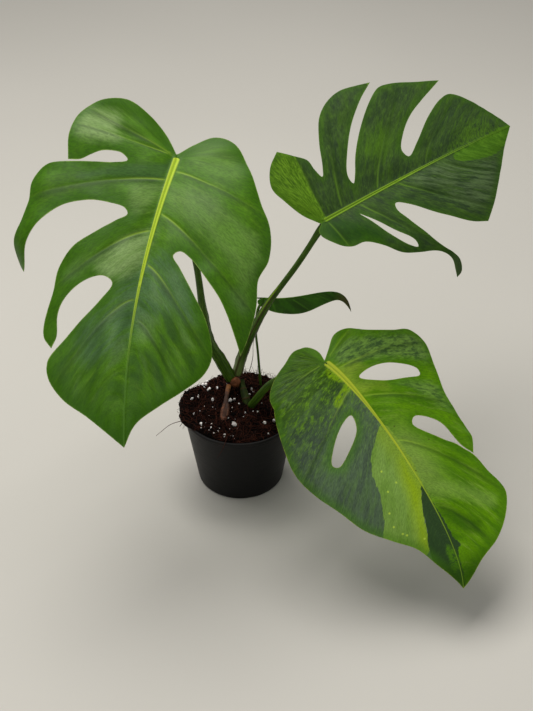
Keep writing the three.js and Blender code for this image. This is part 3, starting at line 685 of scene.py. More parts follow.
def make_leaf(name, step):
    leaf = Leaf(LEAVES[name])
    loops = leaf.outline(step)
    flat, faces = fill(loops, leaf_points(leaf, loops, step))
    x, y = flat.T.copy()
    edge = distance_to(flat, loops)
    number, along, place, width, near = leaf.panels(x, y)
    reach = np.abs(x)
    scale = leaf.length / RELIEF_LENGTH
    half = leaf.rib_width(y)
    ribbed = smoothstep((y + 5) / 7)
    far = number / leaf.length

    tip_calm = mix(1, 1.2 if name == "lower" else 0.3, smoothstep((far - 0.45) / 0.2))
    calm = mix(0.4, 1, smoothstep((number + 14) / 30)) * mix(1, 0.45, smoothstep((along - 20) / 80))
    calm = calm * tip_calm
    swell = np.sin(np.pi * place) ** 0.9 * np.minimum(width, 45) * 0.045 * calm
    swell = swell * smoothstep((along - 4) / 25) * mix(0.35, 1, smoothstep(edge / 22))
    wave = np.sin(along / 9 + number / 14) * 0.35 + np.sin(along / 5.3 - number / 6) * 0.12
    ruffle = np.sin((y + 0.6 * reach) / 7.5 + 1) + 0.6 * np.sin(y / 4.1 + reach / 9)
    wave = wave + 0.3 * bell(edge / 14) * ruffle
    bulge = (swell + wave * smoothstep(reach / 12)) * scale
    groove = bell(near / 1.1) * smoothstep((along - 3) / 6) * mix(0.25, 1, smoothstep(edge / 14))
    groove = groove * calm * scale
    ridge = bell((reach / half - 0.62) / 0.3) * 0.75 + 0.2 * smoothstep(1.5 - reach / half)
    ridge = ridge * ribbed * mix(1.1, 0.5, np.clip(y / leaf.length, 0, 1)) * scale
    keel = np.sqrt(np.clip(1 - (reach / (half * 1.1)) ** 2, 0, 1)) * 2.4
    keel = keel * ribbed * np.clip(1 - y / leaf.length, 0.08, 1) * scale

    thick = mix(RIM_THICK, BLADE_THICK, smoothstep(edge / 5)) / 2
    middle = leaf.at(x, y)
    normal = leaf.normal(x, y)
    upper = middle + normal * (bulge + thick + ridge - 0.4 * groove)[:, None]
    lower = middle + normal * (bulge - thick - keel - 0.5 * groove)[:, None]
    points, shell = thicken(upper, lower, faces)

    zero = np.zeros(len(x))
    side = np.where(x >= 0, 4.0, -4.0)
    line = bell(near / 0.75) * smoothstep((along - 2) / 5) * mix(0.3, 1, calm)
    line = line * mix(1, 0.12, smoothstep((along - 8) / 60))
    line = line * mix(1, 0.15, smoothstep((far - 0.34) / 0.12))
    # Painted shade in the hollow on the tip side of each main vein.
    painted_crease_shade = np.where(place < 0.5, bell((near - 2.2) / 2), 0) * tip_calm
    painted_crease_shade = painted_crease_shade * smoothstep((along - 5) / 12) * smoothstep(edge / 12)
    attributes = {
        "flat": np.stack([x / FLAT_UNIT, y / FLAT_UNIT, zero], 1),
        "veins": np.stack([number / FLAT_UNIT, along / FLAT_UNIT, side], 1),
        "edge": edge,
        "rib": reach / half + 6 * (1 - ribbed),
        "line": line,
        "painted_crease_shade": painted_crease_shade,
        "side": np.clip(x, -1, 1),
        "across": reach / FLAT_UNIT,
        "tip": y / leaf.length,
        "lobe": np.where(x < 0, (0.012 - far) * 250, -50),
    }
    for key, text in MARKS[name].items():
        loop = [loop_through(text, MARK_STEP)]
        away = distance_to(flat, loop)
        attributes[key] = np.where(is_inside(flat, loop), away, -away)
    attributes = {key: np.concatenate([values, values]) for key, values in attributes.items()}
    attributes["under"] = np.concatenate([zero, zero + 1])
    piece = add_piece("blade_" + name, points, shell, LEAF_FINISH[name](), attributes)
    piece.data.set_sharp_from_angle(angle=math.radians(LEAF_SHARP))
    return piece


# Materials

class Shade:
    """A material built from nodes. A value is a socket, a number, a vector or a colour code."""

    def __init__(self, name, roughness=0.5, specular=0.5):
        self.material = bpy.data.materials.new(name)
        self.material.use_nodes = True
        self.nodes = self.material.node_tree.nodes
        self.links = self.material.node_tree.links
        self.shader = self.nodes["Principled BSDF"]
        self.set("Roughness", roughness)
        self.set("Specular IOR Level", specular)

    def plug(self, value, socket):
        if isinstance(value, bpy.types.NodeSocket):
            self.links.new(value, socket)
        else:
            socket.default_value = linear(value) if isinstance(value, str) else value

    def set(self, name, value):
        self.plug(value, self.shader.inputs[name])

    def node(self, kind, inputs=(), output=0, **settings):
        """A new node's output. Inputs are pairs of a name or number and a value."""
        node = self.nodes.new("ShaderNode" + kind)
        for key, value in settings.items():
            setattr(node, key, value)
        for key, value in inputs:
            self.plug(value, node.inputs[key])
        return node.outputs[output]

    def math(self, kind, *values):
        return self.node("Math", enumerate(values), operation=kind)

    def times(self, *values):
        return reduce(lambda a, b: self.math("MULTIPLY", a, b), values)

    def plus(self, *values):
        return reduce(lambda a, b: self.math("ADD", a, b), values)

    def step(self, value, low, high, start=0, end=1):
        """Eases from start to end as value goes from low to high."""
        return self.node("MapRange", enumerate((value, low, high, start, end)),
                         interpolation_type="SMOOTHSTEP")

    def mix(self, factor, a, b):
        return self.node("Mix", ((0, factor), (6, a), (7, b)), 2, data_type="RGBA")

    def blend(self, value, low, high, a, b):
        """Eases from colour a to colour b as value goes from low to high."""
        return self.mix(self.step(value, low, high), a, b)

    def layers(self, colour, *layers):
        """Lays colours over the first, each as strongly as the product of its factors."""
        for over, *factors in layers:
            colour = self.mix(self.times(*factors), colour, over)
        return colour

    def read(self, name, output="Fac"):
        return self.node("Attribute", (), output, attribute_name=name)

    def place(self):
        return self.node("TexCoord", (), "Object")

    def noise(self, vector, scale, detail=3, rough=0.5, warp=0):
        """Fractal noise; three numbers as its scale stretch it."""
        if isinstance(scale, tuple):
            vector, scale = self.node("Mapping", (("Vector", vector), ("Scale", scale))), 1
        names = ("Vector", "Scale", "Detail", "Roughness", "Distortion")
        return self.node("TexNoise", zip(names, (vector, scale, detail, rough, warp)))

    def cells(self, vector, scale):
        return self.node("TexVoronoi", (("Vector", vector), ("Scale", scale)), "Distance")

    def spots(self, vector, places, radius):
        """1 in small round spots at the given places, 0 elsewhere."""
        nearest = 1000
        for x, y in table(places):
            ends = ((0, vector), (1, (x / FLAT_UNIT, y / FLAT_UNIT, 0)))
            away = self.node("VectorMath", ends, "Value", operation="DISTANCE")
            nearest = self.math("MINIMUM", away, nearest)
        return self.step(nearest, radius / FLAT_UNIT, 0.5 * radius / FLAT_UNIT)

    def bump(self, height, distance, strength):
        inputs = (("Strength", strength), ("Distance", distance), ("Height", height))
        self.set("Normal", self.node("Bump", inputs))

    def colour(self, value):
        self.set("Base Color", value)
        return self.material


# Noises that run along a leaf's side veins: scale, detail, roughness and warp.
VEIN_NOISES = {
    "fine": ((7, 0.5, 1), 4, 0.6, 0.3),
    "streak": ((2.6, 0.28, 1), 4, 0.62, 0.4),
    "broad": ((0.9, 0.16, 1), 3, 0.5, 0.5),
    "mottle": ((3.4, 1.1, 1), 5, 0.72, 0.5),
    "speck": ((6, 1, 1), 5, 0.72, 0.3),
    "hatch": ((16, 2.2, 1), 2, 0.6, 0.2),
}
RIB_EDGE = 1.15
RIB_SOFTNESS = 0.45


class LeafShade(Shade):
    """What all the leaves share: streaks along the side veins, pale veins, painted shade in the
    hollows beside them, midrib and rim.
    """

    def __init__(self, name, roughness, specular):
        super().__init__(name, specular=specular)
        self.veins, self.flat = self.read("veins", "Vector"), self.read("flat", "Vector")
        self.edge, self.across, self.tip = (self.read(key) for key in ("edge", "across", "tip"))
        for key, values in VEIN_NOISES.items():
            setattr(self, key, self.noise(self.veins, *values))
        self.cloud = self.noise(self.flat, 0.35, 2)
        grain = self.noise(self.flat, 14, 3, 0.6)
        self.set("Roughness", self.plus(
            self.times(self.cloud, 0.12), self.times(self.fine, 0.1), roughness - 0.11,
            self.times(self.read("under"), 0.2)))
        self.bump(self.plus(self.times(self.fine, 0.5), self.times(self.streak, 0.5),
                            self.times(grain, 0.12)), 0.0006, 0.35)

    def mark(self, name, softness, ragged):
        """1 inside a mark, with an edge that runs in and out along the veins."""
        both = self.plus(self.times(self.streak, 0.65), self.times(self.mottle, 0.35))
        wander = self.times(self.math("SUBTRACT", both, 0.5), ragged)
        return self.step(self.plus(self.read(name), wander), -softness, softness)

    def finish(self, colour, vein, rib, rim, groove, under, vein_strength, rib_strength=1,
               far_rib=None, far_rib_edge=RIB_EDGE):
        middle = self.read("rib")
        rib = self.blend(self.tip, 0.35, 0.8, rib, far_rib or vein)
        rib_edge = self.step(self.tip, 0.1, 0.35, RIB_EDGE, far_rib_edge)
        return self.colour(self.layers(
            colour,
            ("#14240c", self.step(self.hatch, 0.62, 0.35, 0, 0.3)),
            # Painted shade in the hollows beside the side veins.
            ("#1c3408", self.read("painted_crease_shade"), 0.5),
            (vein, self.read("line"), vein_strength),
            (rib, self.step(middle, rib_edge, self.plus(rib_edge, -RIB_SOFTNESS)),
             self.step(self.tip, 0.35, 1, rib_strength, 0.5 * rib_strength)),
            (groove, self.step(middle, 0.3, 0.08), self.step(self.tip, 0.6, 0.1, 0, 0.6)),
            (rim, self.step(self.edge, 0.9, 0.15), self.step(self.mottle, 0.4, 0.62, 0.15, 0.75)),
            (under, self.read("under"), 0.75)))


def left_finish():
    s = LeafShade("leaf_green", 0.4, 0.14)
    bands = s.noise(s.veins, (0.62, 0.2, 1), 1, 0.4, 0.3)
    far = s.times(s.step(s.tip, 0.36, 0.5), s.step(s.tip, 0.95, 0.72), s.step(s.edge, 2, 16))
    veil = s.step(s.streak, 0.3, 0.65, 0.65)
    sheens = {"lobe": 0.85, "back": 0.15, "mid": 0.85, "wide": 0.25, "rib": 0.4}
    colour = s.layers(
        s.blend(s.broad, 0.35, 0.65, "#386002", "#4a780a"),
        ("#668f22", s.step(s.streak, 0.5, 0.75, 0, 0.4)),
        ("#346000", s.step(s.edge, 17, 3), 0.8),
        ("#285000", s.step(s.tip, 0.72, 1, 0, 0.6)),
        # These two grey-green marks are partly the leaf's grey tone, partly painted sheen.
        ("#4a6a46", s.mark("dull", 9, 16), s.step(s.streak, 0.35, 0.6, 0.35), 0.8),
        ("#3c5c34", s.mark("grey_blue_tone_and_sheen", 4, 14), 0.6),
        # Painted shade in dark bands towards the tip, and painted sheen between them.
        ("#2c4c20", far, s.step(bands, 0.54, 0.36), 0.6),
        ("#64844e", far, s.step(bands, 0.5, 0.7), 0.45),
        # Painted sheen on the lobes, beside the midrib and across the wide half.
        *[("#84a062", s.mark(key + "_sheen", 7, 14), veil, strength)
          for key, strength in sheens.items()])
    return s.finish(colour, "#88a830", "#a8c034", "#86a048", "#7c9a24", "#5c7c3c", 0.75,
                    far_rib="#5e8838")


def upper_finish():
    s = LeafShade("leaf_streaked", 0.5, 0.05)
    lobe = s.layers(
        s.blend(s.speck, 0.4, 0.6, "#3e620e", "#648c20"),
        ("#2a4512", s.step(s.streak, 0.55, 0.68), 0.6))
    colour = s.layers(
        s.blend(s.broad, 0.35, 0.65, "#293b25", "#354b25"),
        ("#3e5f16", s.step(s.streak, 0.45, 0.68, 0, 0.7)),
        ("#4c6c28", s.step(s.speck, 0.42, 0.7, 0, 0.6)),
        ("#24351f", s.step(s.cloud, 0.5, 0.36, 0, 0.5)),
        ("#4c7414", s.mark("bright", 14, 50), 0.55),
        ("#1e4402", s.mark("leafy", 6, 16), 0.75),
        ("#5e7050", s.mark("ash", 8, 20), s.step(s.streak, 0.4, 0.6), 0.5),
        ("#4e741c", s.mark("glow", 6, 14), s.step(s.speck, 0.36, 0.62), 0.7),
        (lobe, s.mark("lobe", 1, 6)),
        (s.blend(s.streak, 0.4, 0.65, "#3a600c", "#4c7418"), s.mark("wedge", 0.8, 10), 0.9),
        ("#38600a", s.step(s.edge, 9, 1), 0.4))
    return s.finish(colour, "#5f8424", "#789c24", "#5c7c2a", "#4c6c1a", "#4c6c34", 0.6, 0.8)


def lower_finish():
    s = LeafShade("leaf_variegated", 0.42, 0.08)
    leafy = s.blend(s.broad, 0.36, 0.6, "#284404", "#385a04")
    dull = s.blend(s.broad, 0.36, 0.6, "#435343", "#50654c")
    dark = s.layers(
        s.blend(s.tip, 0.04, 0.26, leafy, dull),
        ("#547240", s.step(s.streak, 0.45, 0.66, 0, 0.6)),
        (s.blend(s.tip, 0.1, 0.45, "#689618", "#64824e"),
         s.step(s.speck, 0.46, 0.66), s.step(s.tip, 0.6, 0.15, 0.3, 0.8)))
    light = s.layers(
        s.blend(s.broad, 0.35, 0.65, "#447200", "#5a8a00"),
        ("#789a34", s.step(s.streak, 0.5, 0.74, 0, 0.6)),
        # Painted sheen beside the midrib in the middle of the light half.
        ("#84a04c", s.step(s.across, 3.8, 0.8), s.step(s.tip, 0.28, 0.46),
         s.step(s.tip, 0.72, 0.55), 0.6),
        # Painted shade in a furrow near the tip, and a painted highlight on the ridge beside it.
        ("#2e5600", s.mark("painted_fold_shade", 5, 8), 0.6),
        ("#86a84c", s.mark("painted_crest_highlight", 5, 10), 0.4))
    grey = s.blend(s.speck, 0.4, 0.58, "#385030", "#6c9040")
    sector = s.layers(
        s.blend(s.broad, 0.35, 0.65, "#6a8e38", "#7a9c48"),
        ("#84a024", s.step(s.across, 2.4, 0.6, 0, 0.5)),
        ("#8aa80c", s.mark("gold", 9, 6), 0.9),
        ("#b0cc48", s.spots(s.flat, DOTS, 1.4), 0.85))
    wedge = s.layers(
        "#2c4424",
        ("#3e5c26", s.step(s.fine, 0.5, 0.7, 0, 0.4)),
        ("#4c7c10", s.mark("tip_green", 2, 8), s.step(s.speck, 0.4, 0.52)))
    colour = s.layers(
        s.blend(s.read("side"), -0.5, 0.5, light, dark),
        (grey, s.mark("grey", 5, 30), 0.85),
        (grey, s.mark("patch", 5, 30), 0.7),
        ("#92a834", s.mark("root_glow", 5, 8), 0.5),
        (sector, s.mark("sector", 0.4, 9)),
        (wedge, s.mark("wedge", 0.4, 8)),
        *[("#7ca40c", s.mark(key, 2, 12), s.step(s.speck, 0.36, 0.5), 0.85)
          for key in ("flare", "foot")],
        ("#407000", s.step(s.edge, 12, 1), 0.55),
        ("#1e3c00", s.step(s.tip, 0.84, 0.98, 0, 0.75)),
        ("#3a2a10", s.spots(s.flat, SPECKS, 0.9), 0.7))
    return s.finish(colour, "#8cae34", "#a6b430", "#869c34", "#6c8420", "#5c7c3c", 0.6,
                    far_rib_edge=0.8)


def young_finish():
    s = LeafShade("leaf_dark", 0.6, 0.03)
    colour = s.layers(
        s.blend(s.broad, 0.35, 0.65, "#152c02", "#224604"),
        ("#345a0a", s.step(s.streak, 0.5, 0.75, 0, 0.5)),
        ("#484628", s.step(s.tip, 0.68, 0.88)))
    return s.finish(colour, "#3c6414", "#4c6a1c", "#5c7430", "#3c5c14", "#3c5624", 0.4)


def stalk_finish():
    s = Shade("stalk_skin", specular=0.15)
    grain = s.noise(s.read("skin", "Vector"), (9, 0.7, 9), 4, 0.6)
    spots = s.noise(s.place(), 420, 3, 0.6)
    s.set("Roughness", s.step(spots, 0.3, 0.7, 0.38, 0.55))
    s.bump(s.plus(grain, s.times(spots, 0.3)), 0.0005, 0.5)
    return s.colour(s.layers(
        s.blend(grain, 0.35, 0.7, "#2c480c", "#4a6a1a"),
        ("#547428", s.step(spots, 0.6, 0.75, 0, 0.5)),
        ("#84965c", s.read("pale"), 0.55),
        ("#7a9a10", s.read("strip"), 0.85),
        ("#3a2012", s.read("rust"), s.step(grain, 0.3, 0.5, 0.6), 0.9),
        ("#3c2414", s.step(s.read("wing"), 0.62, 0.9), s.step(grain, 0.3, 0.5, 0.5))))


def stem_finish():
    s = Shade("stem_skin", specular=0.15)
    patch = s.noise(s.place(), 90, 4, 0.6)
    spots = s.noise(s.place(), 500, 3, 0.6)
    s.set("Roughness", s.step(spots, 0.3, 0.7, 0.5, 0.75))
    s.bump(s.plus(patch, s.times(spots, 0.5)), 0.0008, 0.6)
    knob = s.layers(
        s.blend(patch, 0.35, 0.65, "#54301c", "#74442a"),
        ("#4a2a1a", s.step(spots, 0.5, 0.7, 0, 0.6)))
    return s.colour(s.layers(
        s.blend(patch, 0.4, 0.65, "#1c2a0a", "#303e14"),
        ("#46401e", s.step(spots, 0.55, 0.75, 0, 0.7)),
        ("#46301a", s.read("ring"), 0.85),
        (knob, s.read("knob"))))


def root_finish():
    s = Shade("root_skin")
    fibres = s.noise(s.place(), (500, 500, 90), 4, 0.65)
    patch = s.noise(s.place(), 120)
    share = s.read("share")
    s.set("Roughness", s.step(fibres, 0.3, 0.7, 0.6, 0.85))
    s.bump(s.plus(fibres, patch), 0.001, 0.7)
    return s.colour(s.layers(
        s.blend(fibres, 0.35, 0.7, "#4e2c1c", "#8a5436"),
        ("#3a2215", s.step(patch, 0.5, 0.7, 0, 0.6)),
        ("#26150d", s.step(share, 0.58, 0.66), s.step(share, 0.88, 0.78),
         s.step(fibres, 0.3, 0.5, 0.6), 0.8),
        ("#331d13", s.read("slit"), 0.75),
        ("#8c5a28", s.step(share, 0.84, 0.95, 0, 0.8))))


def soil_finish():
    s = Shade("soil_mix", 0.95, 0.08)
    crumb = s.noise(s.place(), 380, 5, 0.7)
    patch = s.noise(s.place(), 70)
    fibre = s.noise(s.place(), (900, 120, 300), 3, 0.6, 1.5)
    s.bump(s.plus(crumb, s.times(fibre, 0.5)), 0.0012, 0.9)
    return s.colour(s.layers(
        s.blend(patch, 0.35, 0.65, "#030201", "#0a0403"),
        ("#1a0b07", s.step(crumb, 0.5, 0.72, 0, 0.8)),
        ("#30160e", s.step(fibre, 0.62, 0.75, 0, 0.6))))


def fibre_finish():
    s = Shade("coir_fibre", 0.8, 0.15)
    tint = s.read("tint")
    shade = s.noise(s.place(), 300, 3, 0.6)
    s.bump(shade, 0.0004, 0.5)
    return s.colour(s.layers(
        s.mix(tint, "#080302", "#3c1b12"),
        ("#703a26", tint, s.step(shade, 0.45, 0.7, 0.15, 0.7))))


def chip_finish():
    s = Shade("coir_chip", 0.9, 0.08)
    shade = s.noise(s.place(), 260, 4, 0.7)
    s.bump(shade, 0.001, 0.8)
    return s.colour(s.layers(
        s.mix(s.read("tint"), "#030202", "#120704"),
        ("#24100a", s.step(shade, 0.5, 0.7, 0, 0.6))))


def grain_finish():
    s = Shade("pale_grain", 0.85, 0.3)
    dirt = s.noise(s.place(), 260, 3, 0.6)
    s.bump(s.plus(s.cells(s.place(), 900), s.times(dirt, 0.5)), 0.0007, 0.7)
    return s.colour(s.layers(
        s.mix(s.read("tint"), "#fbf4f2", "#ffffff"),
        ("#b09484", s.step(dirt, 0.62, 0.74, 0, 0.3))))


def pot_finish():
    s = Shade("pot_plastic", specular=0.22)
    scuff = s.noise(s.place(), (90, 90, 500), 4, 0.7)
    dust = s.noise(s.place(), 60, 5, 0.65)
    fine = s.noise(s.place(), 1500, 2)
    s.set("Roughness", s.plus(0.34, s.times(scuff, 0.22), s.times(dust, 0.12)))
    s.bump(s.plus(s.times(fine, 0.4), scuff), 0.0002, 0.35)
    return s.colour(s.layers(
        s.mix(s.step(dust, 0.45, 0.7, 0, 0.5), "#040405", "#0b0b0b"),
        ("#221610", s.step(s.read("height"), 70, 88), s.step(dust, 0.5, 0.68), 0.5)))


# Pot

def inner_radius(z):
    top = POT["rim"] - POT["reach"] - POT["wall"]
    share = np.minimum(1, (z - POT["floor"]) / (POT["height"] - POT["floor"]))
    return mix(POT["base"] - POT["wall"], top, share) - GAP


def beside(x, z, offsets):
    return [(x + across, z + up) for across, up in table(offsets)]


def make_pot():
    """A turned wall with a rolled lip, round a floor plate with its drain holes."""
    base, rim, height, floor = POT["base"], POT["rim"], POT["height"], POT["floor"]
    wall_top = rim - POT["reach"]
    lip = height - POT["lip"]
    inside = base - POT["wall"]
    ring = inside - 1.5
    profile = [(ring, 0), *beside(base, 0, "-3.2,0 -2.2,0.1 -1.2,0.6 -0.5,1.5 -0.1,2.6")]
    profile += [(mix(base, wall_top, t), mix(3, lip - 1.6, t)) for t in np.linspace(0, 1, 24)]
    profile += beside(wall_top, lip, "-0.25,-1.2 -0.3,-0.5 0.2,-0.1")
    profile += beside(rim, lip, "-0.5,0.05 -0.12,0.35 0,0.8")
    profile += beside(rim, height, """0,-1.1 -0.15,-0.5 -0.5,-0.12 -1,0 -1.7,-0.05 -2.2,-0.35
                                      -2.9,-0.5 -2.95,-0.9""")
    profile += [(mix(rim - 3, inside, t), mix(height - 1.6, floor + 1.4, t))
                for t in np.linspace(0, 1, 16)]
    profile += [(inside - 0.4, floor + 0.5), (ring, floor)]
    profile = np.array(profile, float)
    turn = turns(POT_SIDES)
    points = np.stack([profile[:, :1] * np.cos(turn), profile[:, :1] * np.sin(turn),
                       np.repeat(profile[:, 1:], POT_SIDES, 1)], 2).reshape(-1, 3)
    faces = rings(len(profile), POT_SIDES)

    def circle(middle, radius, count):
        return middle + radius * np.stack([np.cos(turns(count)), np.sin(turns(count))], 1)

    rounds = [circle((0, 0), ring, POT_SIDES)]
    rounds += [circle(middle, POT["drain_radius"], DRAIN_SIDES)
               for middle in circle((0, 0), POT["drain_ring"], POT["drains"])]
    rows = np.arange(-44, 45, 4)
    grid = np.stack(np.meshgrid(rows, rows), 2).reshape(-1, 2) + 0.21
    grid = grid[is_inside(grid, rounds)]
    grid = grid[distance_to(grid, rounds) > 1.8]
    flat, plate = fill(rounds, grid)
    level = np.zeros((len(flat), 1))
    floor_points, floor_faces = thicken(np.hstack([flat, level + floor]), np.hstack([flat, level]),
                                        plate)
    faces += [tuple(i + len(points) for i in face) for face in floor_faces]
    points = np.vstack([points, floor_points])
    piece = add_piece("pot_shell", points, faces, pot_finish(), {"height": points[:, 2]})
    piece.data.set_sharp_from_angle(angle=math.radians(POT_SHARP))
    dress(piece, "pot", "pot")


# Soil

def soil_height(x, y):
    inner = inner_radius(POT["height"])
    share = np.hypot(x, y) / inner
    bumps = np.sin(0.21 * x + 1.3) * np.cos(0.17 * y - 0.4) + 0.6 * np.sin(0.43 * y + 0.37 * x)
    back = SOIL["back"] * smoothstep(y / inner)
    return SOIL["edge"] + SOIL["dome"] * (1 - share * share) + back + SOIL["rough"] * bumps


def spill_at(angle):
    """How far the soil rises over the lip, and how far it reaches past it, from 0 to 1."""
    away = np.abs(((angle - np.pi + 3 * np.pi) % (2 * np.pi)) - np.pi)
    spill = bell(away / SOIL["spill_spread"])
    return smoothstep(spill / 0.3), smoothstep((spill - 0.3) / 0.5)


def soil_edge(angle):
    """The soil's outer radius and shoulder height at an angle, and how far it rises there."""
    raised, reached = spill_at(angle)
    inner = inner_radius(POT["height"])
    lip = POT["height"] + GAP
    low = np.minimum(soil_height(inner * np.cos(angle), inner * np.sin(angle)) - 2, lip)
    shoulder = mix(low, lip, raised)
    ragged = 0.7 * np.sin(angle * 9 + 1) + 0.5 * np.sin(angle * 19) + 0.3 * np.sin(angle * 41 + 2)
    spilled = POT["rim"] + SOIL["spill_reach"] - 1.5 + ragged
    return mix(inner_radius(shoulder) - 0.4, spilled, reached), shoulder, raised


def ground(x, y):
    """The soil's surface height anywhere on it, without its crumbs."""
    angle = np.arctan2(y, x)
    rim, shoulder, raised = soil_edge(angle)
    lip = POT["height"] + GAP
    inner = inner_radius(POT["height"])
    level = soil_height(x, y) - 1.2 * smoothstep(-y / 50)
    edge_level = soil_height(inner * np.cos(angle), inner * np.sin(angle))
    painted_crest_highlight = mix(edge_level, lip + SOIL["spill_height"], raised)
    inward = np.clip(1 - np.hypot(x, y) / rim, 0, 1)
    height = mix(painted_crest_highlight, level, smoothstep(inward * 3 + 0.15))
    edge = mix(shoulder + 0.4, lip + 0.1, raised)
    return mix(edge, height, smoothstep(inward / 0.06) ** 0.5)


def make_soil():
    angle = turns(SOIL_SIDES)
    rim, shoulder, _ = soil_edge(angle)
    shares = 1 - np.linspace(0.004, 1, SOIL_RINGS) ** 0.9
    reach = (1 - shares)[:, None] * rim[None]
    x, y = reach * np.cos(angle), reach * np.sin(angle)
    z = ground(x.ravel(), y.ravel()).reshape(x.shape)
    top = np.stack([x, y, z], 2).reshape(-1, 3)
    crumbs = 1.1 * lumps(top, 0.11, 3, 1) + 0.9 * lumps(top, 0.38, 3, 2)
    cells = np.array([noise.voronoi(Vector(p) * 0.36)[0][0] for p in top])
    crumbs += 1.5 * (0.45 - cells)
    fade = smoothstep((rim[None] - reach) / 5).ravel()
    top[:, 2] += crumbs * mix(0.25, 1, fade)
    bottom = POT["floor"] + GAP
    rows = [top]
    for depth in (0, 4, 40, shoulder - bottom):
        level = shoulder - depth
        radius = inner_radius(level)
        rows.append(np.stack([radius * np.cos(angle), radius * np.sin(angle), level], 1))
    points = np.vstack([*rows, top[:SOIL_SIDES].mean(0), (0, 0, bottom)])
    total = SOIL_RINGS + 4
    faces = rings(total, SOIL_SIDES, flip=True)
    last = (total - 1) * SOIL_SIDES
    for k in range(SOIL_SIDES):
        after = (k + 1) % SOIL_SIDES
        faces += [(len(points) - 2, k, after), (len(points) - 1, last + after, last + k)]
    dress(add_piece("soil_ground", points, faces, soil_finish()), "soil", "soil")


def on_ground(x, y, above):
    return np.array([x, y, float(ground(np.array([x]), np.array([y]))[0]) + above])


def make_litter():
    """Coir fibres, dark chips and pale grains strewn on the soil."""
    draw = np.random.default_rng(LITTER_SEED)
    fibres, chips, grains = Pile(), Pile(), Pile()

    def strewn(margin):
        """A direction, and a reach that spreads evenly over the soil within a margin."""
        angle = draw.uniform(0, 2 * np.pi)
        rim = float(soil_edge(np.array([angle]))[0][0])
        return angle, (rim - margin) * math.sqrt(draw.uniform(0, 1))

    for _ in range(FIBRES):
        angle, reach = strewn(1)
        length = draw.uniform(5, 24) * (1 if reach < 50 else 0.7)
        heading, curve = draw.uniform(0, 2 * np.pi), draw.normal(0, 0.05)
        s = np.linspace(-0.5, 0.5, 9) * length
        turn = heading + curve * s
        x = reach * math.cos(angle) + s * np.cos(turn)
        y = reach * math.sin(angle) + s * np.sin(turn)
        raised = spill_at(np.arctan2(y, x))[1]
        edge = soil_edge(np.arctan2(y, x))[0] - 0.7 + 4 * raised
        over = np.minimum(1, edge / np.maximum(np.hypot(x, y), 1e-6))
        x, y = x * over, y * over
        hang = raised * np.maximum(0, np.hypot(x, y) - edge + 4.5) * draw.uniform(0.3, 1)
        lift = draw.uniform(0.2, 1.5) * np.sin(np.pi * (s / length + 0.5)) + draw.uniform(-0.2, 0.8)
        if draw.uniform() < 0.12:
            lift = lift + draw.uniform(2, 7) * smoothstep(s / length + 0.5)
        thick = draw.uniform(0.12, 0.34)
        line = np.stack([x, y, ground(x, y) + lift - hang], 1)
        fibres.add_tube(line, 4, thick, 0.4 * thick, draw.uniform())

    sphere, faces = ball(5, 7)
    for _ in range(CHIPS):
        angle, reach = strewn(2)
        x, y = reach * math.cos(angle), reach * math.sin(angle)
        size = draw.uniform(0.7, 2.4) * draw.uniform(0.6, 1)
        shape = sphere * (1 + draw.uniform(-0.3, 0.3, (len(sphere), 1)))
        shape = shape * draw.uniform(0.5, 1.3, 3) * size
        turn = draw.uniform(0, 2 * np.pi)
        shape = shape @ np.array(Matrix.Rotation(turn, 3, "Z")).T
        chips.add(shape + on_ground(x, y, 0.1 * size), faces, draw.uniform())

    for _ in range(UPRIGHT_FIBRES):
        foot = on_ground(draw.uniform(-8, 42), draw.uniform(42, 53), -1)
        tall, lean, bow = draw.uniform(3, 11), draw.normal(0, 3, 2), draw.normal(0, 2, 2)
        s = np.linspace(0, 1, 8)[:, None]
        flat = foot[:2] + lean * s + bow * np.sin(np.pi * s)
        line = np.hstack([flat, foot[2] + tall * np.sin(s * 1.9)])
        fibres.add_tube(line, 4, 0.22, 0.088, draw.uniform())

    sphere, faces = ball(4, 6)
    spots = table(GRAINS)
    for _ in range(STREWN_GRAINS):
        angle = draw.uniform(0, 2 * np.pi)
        reach = 50 * math.sqrt(draw.uniform(0, 1))
        spots.append((reach * math.cos(angle), reach * math.sin(angle), draw.uniform(0.3, 0.7)))
    for i, (x, y, radius) in enumerate(spots):
        rough = lumps(sphere, 1.1, 2, i + 3)
        shape = sphere * (1.05 + 0.5 * rough)[:, None] * draw.uniform(0.7, 1.3, 3) * radius
        shape = shape * (1 + draw.uniform(-0.25, 0.25, (len(sphere), 1)))
        grains.add(shape + on_ground(x, y, 0.45 * radius), faces, draw.uniform())
    dress(fibres.piece("soil_fibres", fibre_finish()), "soil")
    dress(chips.piece("soil_chips", chip_finish()), "soil")
    dress(grains.piece("soil_grains", grain_finish(), smooth=False), "soil")


# Stem, roots and stalks

def facing(away, *direction):
    """How directly each unit vector points in a direction, from -1 to 1."""
    return away @ unit(np.array(direction))


